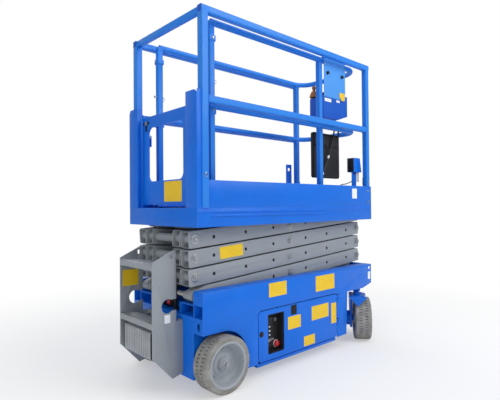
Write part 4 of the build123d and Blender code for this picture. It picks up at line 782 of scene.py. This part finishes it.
class LIFT_OT_ladder(bpy.types.Operator):
    """Rear ladder with its grip strips, the charger and what shows behind them"""
    bl_idname = "lift.ladder"
    bl_label = "Ladder and charger"

    def execute(self, context):
        dress("ladder", "grey", 1.6)
        dress("battery_charger", "cast", 0.6, 1)
        # wavy grip strips along the front of both treads
        for index, z in enumerate((690, 384)):
            wave = [(-884 + 3.2 * (-1) ** step, -168 + 8 * step, z + 2) for step in range(43)]
            strip = [line_along("wave", wave, 2.0, 3), block("bar", (-890, -878), (-172, 172),
                                                             (z - 0.5, z + 1.2), 0.4)]
            fit("grip_strip_%d" % index, strip, "chassis", "zinc")
            holes = [rod("stud", (-866 + 22 * (step % 2), y, z - 1), (-866 + 22 * (step % 2), y, z + 2.2), 5,
                         12, 0.8) for step, y in enumerate(range(-150, 151, 25))]
            fit("tread_studs_%d" % index, holes, "chassis", "grey")
        # charger: end caps, lamp and screws
        ends = [block("cap", (-879, -741), (y, y + s * 4), (191, 327), 1.5)
                for y, s in ((140, 1), (-140, -1))]
        ends += [rod("screw", (x, s * 143, z), (x, s * 146, z), 4, 12, 0.6)
                 for x in (-868, -752) for z in (200, 318) for s in (-1, 1)]
        fit("charger_ends", ends, "chassis", "black")
        settle(rod("charger_lamp", (-820, -60, 326), (-820, -60, 333), 5, 16, 1.5), "chassis", "red")
        # pull knob of the lowering valve, on its bracket above the chassis pan
        knob = [block("bracket", (-668, -664), (-72, -28), (405, 486), 1.0),
                rod("body", (-664, -50, 455), (-700, -50, 455), 22, 32, 2.0),
                rod("neck", (-700, -50, 455), (-706, -50, 455), 9, 20, 0.5)]
        fit("lowering_valve", knob, "chassis", "black")
        settle(rod("lowering_knob", (-705, -50, 455), (-714, -50, 455), 15, 32, 3.0, 13), "chassis", "red")
        # hoses and cables behind the ladder, from the pan up to the lowest arms
        for index, (y, r) in enumerate(((24, 8), (42, 6), (58, 6), (-96, 7))):
            route = ((-640, y, 408), (-690, y * 1.05, 424), (-706, y * 1.1, 470), (-690, y, 540),
                     (-652, y * 0.9, 566))
            settle(line_along("rear_hose_%d" % index, route, r), "chassis", "jacket")
        # rubber lips where the cheeks meet the chassis
        lips = [block("lip", (-709, -703), (side * 136, side * 142), (95, 374), 1.0) for side in (-1, 1)]
        fit("ladder_seals", lips, "chassis", "gasket")
        return {"FINISHED"}


class LIFT_OT_platform(bpy.types.Operator):
    """Platform, guard rails and roll-out deck, with sleeves, bolts, pins and welds"""
    bl_idname = "lift.platform"
    bl_label = "Platform and rails"

    def execute(self, context):
        for node in ("platform_deck", "deck_skirt_right", "deck_skirt_left", "toe_board_right",
                     "toe_board_left", "entry_pillar_right", "entry_pillar_left", "extension_deck"):
            dress(node, "blue")
        for node in ("main_rails_right", "main_rails_left", "entry_top_rail", "extension_rails"):
            # the rails take the lighter enamel, painted light from above
            dress(node, "rail", 1.6)
        # tread plate on both floors
        tread = block("extension_tread", (-584, 882), (-316, 316), (994.6, 996.2), 0.4, 1)
        settle(tread, "extension", "deck")
        for name, side in SIDES:
            # bolts through the toe board into the post sockets
            bolts = [rod("bolt", (x, side * (DECK_Y + y0), z), (x, side * (DECK_Y + y1), z), r, sides, edge)
                     for x in POSTS_X for z in (1014, 1096)
                     for y0, y1, r, sides, edge in ((-1, 1.2, 10, 24, 0.4), (1, 6, 7.5, 6, 0.8))]
            fit("post_bolts_" + name, bolts, "platform", "zinc")
            # snap pin with its wire lock, holding the folding rail at both posts
            pins = []
            for x in POSTS_X:
                pins.append(rod("pin", (x, side * 325, 1168), (x, side * 371, 1168), 4.5, 16, 0.8))
                pins.append(ring("loop", (x, side * 372, 1158), (0, 1, 0), 9, 1.3, (24, 8)))
            fit("rail_pins_" + name, pins, "platform", "zinc")
            # closed ends of the top rail, welds of the mid rail and of the posts' feet
            caps = [block("cap", (x - s * 0.8, x + s * 0.6), (side * 330, side * 366), (2012, 2048), 0.4)
                    for x, s in ((-701, 1), (866, -1))]
            fit("rail_ends_" + name, caps, "platform", "box")
            beads = []
            for x in (-656.6, 825.6):
                for z in (1540, 1580):
                    beads.append(rod("bead", (x, side * 330, z), (x, side * 366, z), 2.4, 8, 0))
                for y in (328, 368):
                    beads.append(rod("bead", (x, side * y, 1542), (x, side * y, 1578), 2.4, 8, 0))
            for x in (-656.6, 825.6):
                beads.append(rod("bead", (x, side * 330, 2010), (x, side * 366, 2010), 2.4, 8, 0))
            fit("rail_welds_" + name, beads, "platform", "blue_weld")
            # rivets of the entry pillar and of the skirt's bead
            rivets = [rod("rivet", (-732, side * 300, z), (-734.2, side * 300, z), 5, 12, 1.0)
                      for z in (1010, 1100, 1560)]
            rivets += [rod("rivet", (x, side * DECK_Y, 966), (x, side * (DECK_Y + 2.2), 966), 5, 12, 1.0)
                       for x in range(-700, 881, 158)]
            fit("skirt_rivets_" + name, rivets, "platform", "blue")
            # extension: lock pins through the rear posts, sleeve bolts, foot bolts, corner welds, slide pads
            locks = [rod("pin", (-605, side * EXT_Y, 1696), (-541, side * EXT_Y, 1696), 4.5, 16, 0.8),
                     ring("loop", (-538, side * EXT_Y, 1686), (1, 0, 0), 10, 1.3, (24, 8)),
                     ring("head", (-604, side * EXT_Y, 1696), (1, 0, 0), 5, 2.2, (20, 8))]
            for z in (1525, 1922):
                locks.append(rod("bolt", (-569, side * (EXT_Y + 24), z), (-569, side * (EXT_Y + 30), z), 7.5,
                                 6, 0.8))
                locks.append(rod("bolt", (-593, side * EXT_Y, z), (-599, side * EXT_Y, z), 7.5, 6, 0.8))
            for x in (EXT_REAR_X, EXT_FRONT_X[name]):
                locks += [rod("bolt", (x + dx, side * y, 998), (x + dx, side * y, 1005), 7.5, 6, 0.8)
                          for dx in (-27, 27) for y in (243, 299)]
            fit("extension_bolts_" + name, locks, "extension", "zinc")
            beads = [ring("bead", (x, side * EXT_Y, z - 19), (0, 0, 1), 18.5, 2.4, (32, 8))
                     for x in (EXT_REAR_X, EXT_FRONT_X[name]) for z in (1552, 2017)]
            fit("extension_welds_" + name, beads, "extension", "blue_weld")
            pads = [block("pad", (x, x + 46), (side * 322, side * 325), (1000, 1040), 0.8)
                    for x in (-560, 100, 720)]
            fit("slide_pads_" + name, pads, "extension", "white")
            # painted highlight: pale strip along the toe board's top edge, for light from above
            plate("toe_lip_" + name, (-650, 884), (side * 349, side * 361), (1131.6, 1132.6), "platform",
                  "hanger")
            # rubber stop and cable guide on the front post
            plate("post_pad_" + name, (826, 866), (side * 327.5, side * 329), (1140, 1200), "platform",
                  "gasket")
        return {"FINISHED"}


class LIFT_OT_gate(bpy.types.Operator):
    """Entry gate with hinge pins, latch, strap and blank label"""
    bl_idname = "lift.gate"
    bl_label = "Entry gate"

    def execute(self, context):
        dress("entry_gate", "blue")
        pins = [rod("pin", (-672, -244, z - 4), (-672, -244, z + 54), 3.6, 16, 0.8) for z in (1064, 1430)]
        fit("gate_pins", pins, "gate", "zinc")
        latch = [rod("bolt", (-684, 214, 1424), (-684, 256, 1424), 5, 16, 1.0),
                 block("keeper", (-694, -676), (196, 216), (1412, 1436), 1.5),
                 rod("spring", (-684, 216, 1424), (-684, 236, 1424), 7, 20, 1.0)]
        fit("gate_latch", latch, "gate", "zinc")
        # woven strap with its buckle in the far top corner
        strap = [block("strap", (-703.5, -700), (176, 240), (1494, 1510), 1.0),
                 block("fall", (-703.5, -700), (196, 214), (1452, 1496), 1.0)]
        fit("gate_strap", strap, "gate", "gasket")
        settle(block("strap_buckle", (-706, -702), (190, 220), (1490, 1514), 1.0), "gate", "zinc")
        plate("gate_label", (-700.6, -699.8), (-175, 6), (1022, 1138), "gate", "yellow")
        return {"FINISHED"}


class LIFT_OT_controls(bpy.types.Operator):
    """Platform controls: box, panel, joystick, cable, document case and outlet"""
    bl_idname = "lift.controls"
    bl_label = "Platform controls"

    def execute(self, context):
        box = dress("control_box", "box", 2.0, 3)
        paint(box, "hanger", lambda c, n: drawn(c).z > 1800 or drawn(c).y < -290.4)
        dress("cable_socket", "black", 2.0)
        slope = math.atan2(PANEL_RISE, PANEL_RUN)
        on_panel = lambda x, y, above=0.0: (x, y, PANEL_Z + (x - PANEL_X) * PANEL_RISE / PANEL_RUN + above)
        top = on_panel(552, 0)[2] + 1.4
        panel = block("control_panel", (416, 688), (-283, -174), (top - 1.2, top + 1.2), 0.5, 2, -slope)
        settle(panel, "extension", "black")
        # emergency stop on its yellow ring, key switch, toggles, horn button, buttons and display
        stop = [rod("stem", on_panel(470, -230), on_panel(470, -230, 20), 12, 24, 1),
                rod("head", on_panel(470, -230, 18), on_panel(470, -230, 32), 21, 40, 4, 18)]
        fit("platform_stop", stop, "extension", "red")
        settle(ring("stop_ring", on_panel(470, -230, 2), (0, 0, 1), 22, 2.4, (40, 8)), "extension", "yellow")
        small = [rod("toggle", on_panel(x, y), on_panel(x - 4, y, 22), 3.2, 16, 0.8, 4.4)
                 for x in (520, 556, 592) for y in (-250, -214)]
        small += [rod("collar", on_panel(x, y), on_panel(x, y, 5), 8, 6, 0.6) for x in (520, 556, 592)
                  for y in (-250, -214)]
        small.append(rod("key", on_panel(640, -250), on_panel(640, -250, 12), 10, 24, 1))
        fit("panel_switches", small, "extension", "zinc")
        buttons = [rod("button", on_panel(640, y), on_panel(640, y, 7), 9, 24, 1.5) for y in (-215, -190)]
        buttons.append(block("display", (660, 682), (-262, -200), (1793, 1799), 1.5, 2, -slope))
        fit("panel_buttons", buttons, "extension", "gasket")
        settle(rod("horn_button", on_panel(510, -190), on_panel(510, -190, 8), 11, 24, 2), "extension",
               "yellow")
        # joystick: tan boot and grip, black collar and thumb rocker, trigger guard beside it
        dress("joystick", "tan", 1.5, 3, 50)
        x, y = 437, -184
        black = [ring("collar", (x, y, 1770), (0, 0, 1), 23, 2.6, (40, 8)),
                 rod("rocker", (x - 6, y - 3, 1849), (x - 6, y - 3, 1855), 6, 16, 1.5),
                 block("guard", (x + 24, x + 34), (y - 18, y + 14), (1771, 1812), 3.0, 3),
                 block("guard", (x + 24, x + 46), (y - 14, y - 6), (1806, 1818), 2.0, 2)]
        fit("joystick_collar", black, "extension", "gasket")
        folds = [rod("fold", (x, y, z), (x, y, z + 7), r, 40, 2.5)
                 for z, r in ((1772, 33), (1779, 31), (1786, 29), (1793, 27), (1800, 24), (1807, 20))]
        fit("joystick_boot", folds, "extension", "tan")
        # hanger: lock knobs, rubber strip over the rail, rivets; labels left blank
        knobs = [rod("knob", (x, -295, 1930), (x, -309, 1930), 11, 24, 2) for x in (450, 620)]
        knobs += [block("strip", (416, 663), (-289, -251), (2034.5, 2036.5), 0.6)]
        fit("hanger_knobs", knobs, "extension", "gasket")
        rivets = [rod("rivet", (x, -295, z), (x, -297.6, z), 5, 12, 1.0) for x in (426, 653)
                  for z in (1775, 1990)]
        fit("hanger_rivets", rivets, "extension", "zinc")
        plate("box_label_grey", (424, 500), (-290.7, -290), (1728, 1752), "extension", "white")
        plate("box_label_white", (560, 600), (-290.7, -290), (1738, 1754), "extension", "white")
        tag = [block("tag", (590, 655), (-298, -296.4), (1772, 1812), 0.4),
               block("tag", (606, 648), (-299, -298), (1756, 1790), 0.4)]
        fit("hanger_tag", tag, "extension", "yellow")
        # control cable on its route, with two pale ties
        route = ((603, -239, 1596), (603, -239, 1552), (580, -240, 1474), (547, -240, 1388),
                 (503, -239, 1300), (466, -240, 1236), (450, -241, 1200), (443, -241, 1172),
                 (443, -241, 1148))
        cable = cord_along("control_cable_run", route, 6)
        cable.data.materials.append(FINISH["jacket"])
        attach(cable, "extension")
        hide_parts("control_cable")
        for index, (a, b) in enumerate((((529, -240, 1353), (519, -240, 1333)),
                                        ((461, -240, 1226), (455, -240, 1212)))):
            settle(rod("cable_tie_%d" % index, a, b, 8.2, 24, 1.2), "extension", "white")
        nuts = [rod("nut", (603, -239, 1599), (603, -239, 1609), 14, 6, 1),
                rod("nut", (443, -241, 1128), (443, -241, 1140), 15, 6, 1)]
        fit("gland_nuts", nuts, "extension", "gasket")
        # document case: hinge line, latch and seam
        dress("manual_box", "black", 2.0, 3)
        trim = [rod("hinge", (384, -227.5, 1502), (670, -227.5, 1502), 3.4, 12, 0.6),
                block("latch", (512, 542), (-229.5, -225.5), (1412, 1440), 1.2),
                block("seam", (376, 678), (-226.8, -225.6), (1418, 1421), 0.3)]
        fit("case_trim", trim, "extension", "gasket")
        # outlet: black cover with its lid, cord grip and pale plate beside the stand
        dress("outlet_box", "blue", 1.5)
        cover = [block("cover", (731, 735.5), (-314, -258), (1243, 1343), 2.0, 3),
                 block("lid", (726, 731.5), (-306, -266), (1268, 1336), 2.0, 3),
                 rod("hinge", (729, -306, 1338), (729, -266, 1338), 3, 12, 0.5),
                 rod("grip", (780, -286, 1240), (780, -286, 1222), 11, 20, 1.5)]
        fit("outlet_cover", cover, "extension", "black")
        plate("outlet_plate", (801, 834), (-293, -291), (1168, 1240), "extension", "white")
        for index, route in enumerate((((780, -286, 1224), (778, -284, 1180), (700, -276, 1150),
                                        (600, -262, 1140), (520, -250, 1020)),
                                       ((560, -250, 1002), (590, -254, 1060), (650, -262, 1090),
                                        (715, -272, 1060), (740, -276, 1002)))):
            line = line_along("outlet_lead_%d" % index, route, 3.5)
            settle(line, "extension", "jacket")
        return {"FINISHED"}


class LIFT_OT_ground(bpy.types.Operator):
    """Ground control panel in the recess of the right tray"""
    bl_idname = "lift.ground"
    bl_label = "Ground controls"

    def execute(self, context):
        face = -314.0
        parts = [block("panel", (-222, -150), (face, face - 10), (140, 334), 2.0, 3),
                 block("guard", (-216, -160), (face - 8, face - 20), (300, 326), 2.0, 3)]
        fit("ground_panel", parts, "control_tray", "black")
        marks = [block("mark", (x, x + 12), (face - 10, face - 11), (z, z + 7), 0.3)
                 for x in (-212, -186) for z in (262, 238, 214)]
        fit("ground_marks", marks, "control_tray", "white")
        steel = [rod("key", (-200, face - 8, 190), (-200, face - 22, 190), 11, 24, 1.2),
                 rod("toggle", (-170, face - 8, 190), (-170, face - 30, 196), 3.4, 16, 0.8, 4.6),
                 rod("collar", (-170, face - 8, 190), (-170, face - 14, 190), 8.5, 6, 0.6),
                 rod("breaker", (-200, face - 8, 160), (-200, face - 18, 160), 7, 20, 1.2)]
        fit("ground_switches", steel, "control_tray", "zinc")
        stop = [rod("base", (-128, face + 2, 158), (-128, face - 12, 158), 17, 32, 1.5),
                rod("head", (-128, face - 10, 158), (-128, face - 28, 158), 20, 40, 4, 17)]
        fit("ground_stop", stop, "control_tray", "red")
        settle(ring("ground_stop_ring", (-128, face - 12, 158), (0, 1, 0), 20, 2.2, (40, 8)), "control_tray",
               "white")
        settle(block("hour_meter", (-142, -112), (face, face - 7), (286, 316), 1.5), "control_tray", "gasket")
        settle(block("meter_glass", (-138, -116), (face - 6, face - 8), (290, 312), 0.5), "control_tray",
               "lead")
        seal = [block("seal", (-233, -97), (-361, -366.6), (z, z + 3), 0.6) for z in (121, 350)]
        seal += [block("seal", (x, x + 3), (-361, -366.6), (122, 352), 0.6) for x in (-233.5, -99)]
        fit("recess_seal", seal, "control_tray", "gasket")
        return {"FINISHED"}


class LIFT_OT_labels(bpy.types.Operator):
    """Blank vinyl labels where the lift carries its coloured plates"""
    bl_idname = "lift.labels"
    bl_label = "Blank labels"

    def execute(self, context):
        thick = context.scene.lift_sizes.label / MM
        skin = CHASSIS_Y + thick
        # the right side, then the same warnings and tie-down mark on the battery side
        for name, side, x, z, body, finish in (
                ("chassis_a", -1, (-223, -70), (453, 536), "chassis", "yellow"),
                ("chassis_b", -1, (210, 411), (426, 527), "chassis", "yellow"),
                ("tray_a", -1, (-61, 58), (231, 309), "control_tray", "yellow"),
                ("tray_b", -1, (166, 343), (246, 337), "control_tray", "yellow"),
                ("tray_c", -1, (372, 428), (189, 326), "control_tray", "yellow"),
                ("tray_d", -1, (87, 196), (97, 159), "control_tray", "yellow"),
                ("tray_e", -1, (-33, 20), (318, 377), "control_tray", "gasket"),
                ("tie_down", -1, (826, 858), (436, 492), "chassis", "white"),
                ("left_a", 1, (-223, -70), (453, 536), "chassis", "yellow"),
                ("left_b", 1, (210, 411), (426, 527), "chassis", "yellow"),
                ("left_c", 1, (-40, 120), (240, 330), "battery_tray", "yellow"),
                ("left_d", 1, (826, 858), (436, 492), "chassis", "white")):
            plate("label_" + name, x, (side * skin, side * (CHASSIS_Y - 0.2)), z, body, finish)
        arm = block("label_arm", (-507, -335), (-ARM_Y - thick, -ARM_Y + 0.2), (700, 768), 0.3, 1, -SLOPE)
        settle(arm, "outer_arm_3", "yellow")
        for name, x, y, z, body, finish in (
                ("toe", (640, 700), (-362 - thick, -361.8), (1040, 1112), "platform", "white"),
                ("cheek", (-818, -782), (-182 - thick, -181.8), (376, 420), "chassis", "white"),
                ("far_cheek", (-876, -776), (176 - thick, 176.2), (534, 628), "chassis", "yellow")):
            plate("label_" + name, x, y, z, body, finish)
        return {"FINISHED"}


class LIFT_OT_stage(bpy.types.Operator):
    """Pale floor, soft lights and the camera"""
    bl_idname = "lift.stage"
    bl_label = "Studio"

    def execute(self, context):
        floor = primitive("grid", "studio_floor", x_subdivisions=2, y_subdivisions=2, size=60)
        material, tree, shader, coords = begin("Studio floor, matt white")
        away = add_node(tree, "VectorMath", {"operation": "LENGTH"}, {0: (coords, "Object")})
        fade = add_node(tree, "MapRange", {"From Min": 1.4, "From Max": 3.2, "To Min": 0.4},
                        {"Value": (away, "Value")})
        glow = add_node(tree, "Emission", {"Color": (1, 1, 1, 1), "Strength": 1.0})
        wire(tree, shader, {"Base Color": (0.93, 0.93, 0.93, 1), "Roughness": 0.9, "Specular IOR Level": 0.0})
        seen = add_node(tree, "LightPath")
        share = add_node(tree, "Math", {"operation": "MULTIPLY"}, {0: (fade, 0), 1: (seen, "Is Camera Ray")})
        both = add_node(tree, "MixShader", None, {0: (share, 0), 1: (shader, 0), 2: (glow, 0)})
        tree.links.new(both.outputs[0], [n for n in tree.nodes
                                         if n.type == "OUTPUT_MATERIAL"][0].inputs["Surface"])
        floor.data.materials.append(material)
        world = bpy.data.worlds.new("Studio")
        context.scene.world = world
        world.use_nodes = True
        sky = world.node_tree
        sky.nodes.clear()
        seen = add_node(sky, "LightPath")
        lit = add_node(sky, "Background", {"Color": (0.93, 0.96, 1.0, 1), "Strength": 0.46})
        shown = add_node(sky, "Background", {"Color": (1, 1, 1, 1), "Strength": 1.0})
        mix = add_node(sky, "MixShader", None, {0: (seen, "Is Camera Ray"), 1: (lit, 0), 2: (shown, 0)})
        add_node(sky, "OutputWorld", None, {"Surface": (mix, 0)})
        target = at(60, 0, 900)
        for name, place, power, size in (("key", (1500, -4200, 3800), 135, 3.2),
                                         ("fill", (-4200, -1600, 1800), 34, 3.0),
                                         ("back", (500, 4200, 3600), 60, 3.0),
                                         ("top", (0, -300, 5200), 55, 3.4)):
            spot = at(*place)
            bpy.ops.object.light_add(type="AREA", location=spot,
                                     rotation=(target - spot).to_track_quat("-Z", "Y").to_euler())
            light = bpy.context.view_layer.objects.active
            light.name = "studio_" + name
            light.data.energy = power
            light.data.size = size
        # the camera stands level with the platform's toe board, right of the ladder
        bpy.ops.object.camera_add(location=at(-2043.755, -2187.85, 997.51))
        camera = bpy.context.view_layer.objects.active
        camera.name = "studio_camera"
        yaw, pitch, roll = (math.radians(v) for v in (47.39973, 0.68437, -0.48531))
        camera.matrix_world = (Matrix.Translation(camera.location)
                               @ Matrix.Rotation(yaw - math.pi / 2, 4, "Z")
                               @ Matrix.Rotation(math.pi / 2 + pitch, 4, "X")
                               @ Matrix.Rotation(roll, 4, "Z"))
        camera.data.sensor_width = 36
        camera.data.lens = 36 * 436.7914 / 500
        camera.data.clip_end = 200
        context.scene.camera = camera
        context.scene.view_settings.view_transform = "Standard"
        return {"FINISHED"}


STEPS = ("finishes", "chassis", "arms", "wheels", "ladder", "platform", "gate", "controls", "ground",
         "labels", "stage")


class LIFT_PT_panel(bpy.types.Panel):
    """Sizes, colours and one button for each group of pieces"""
    bl_idname = "LIFT_PT_panel"
    bl_label = "Scissor Lift"
    bl_space_type = "VIEW_3D"
    bl_region_type = "UI"
    bl_category = "Scissor Lift"

    def draw(self, context):
        for group in (context.scene.lift_colours, context.scene.lift_sizes):
            column = self.layout.column(align=True)
            for name in group.bl_rna.properties.keys():
                if name not in ("rna_type", "name"):
                    column.prop(group, name)
        for step in STEPS:
            self.layout.operator("lift." + step)


CLASSES = (LIFT_PG_colours, LIFT_PG_sizes, LIFT_OT_finishes, LIFT_OT_chassis, LIFT_OT_arms, LIFT_OT_wheels,
           LIFT_OT_ladder, LIFT_OT_platform, LIFT_OT_gate, LIFT_OT_controls, LIFT_OT_ground, LIFT_OT_labels,
           LIFT_OT_stage, LIFT_PT_panel)


def register():
    for item in CLASSES:
        bpy.utils.register_class(item)
    bpy.types.Scene.lift_colours = bpy.props.PointerProperty(type=LIFT_PG_colours)
    bpy.types.Scene.lift_sizes = bpy.props.PointerProperty(type=LIFT_PG_sizes)


def unregister():
    del bpy.types.Scene.lift_colours
    del bpy.types.Scene.lift_sizes
    for item in reversed(CLASSES):
        bpy.utils.unregister_class(item)


def main():
    register()
    for step in STEPS:
        getattr(bpy.ops.lift, step)()


if __name__ == "__main__":
    main()
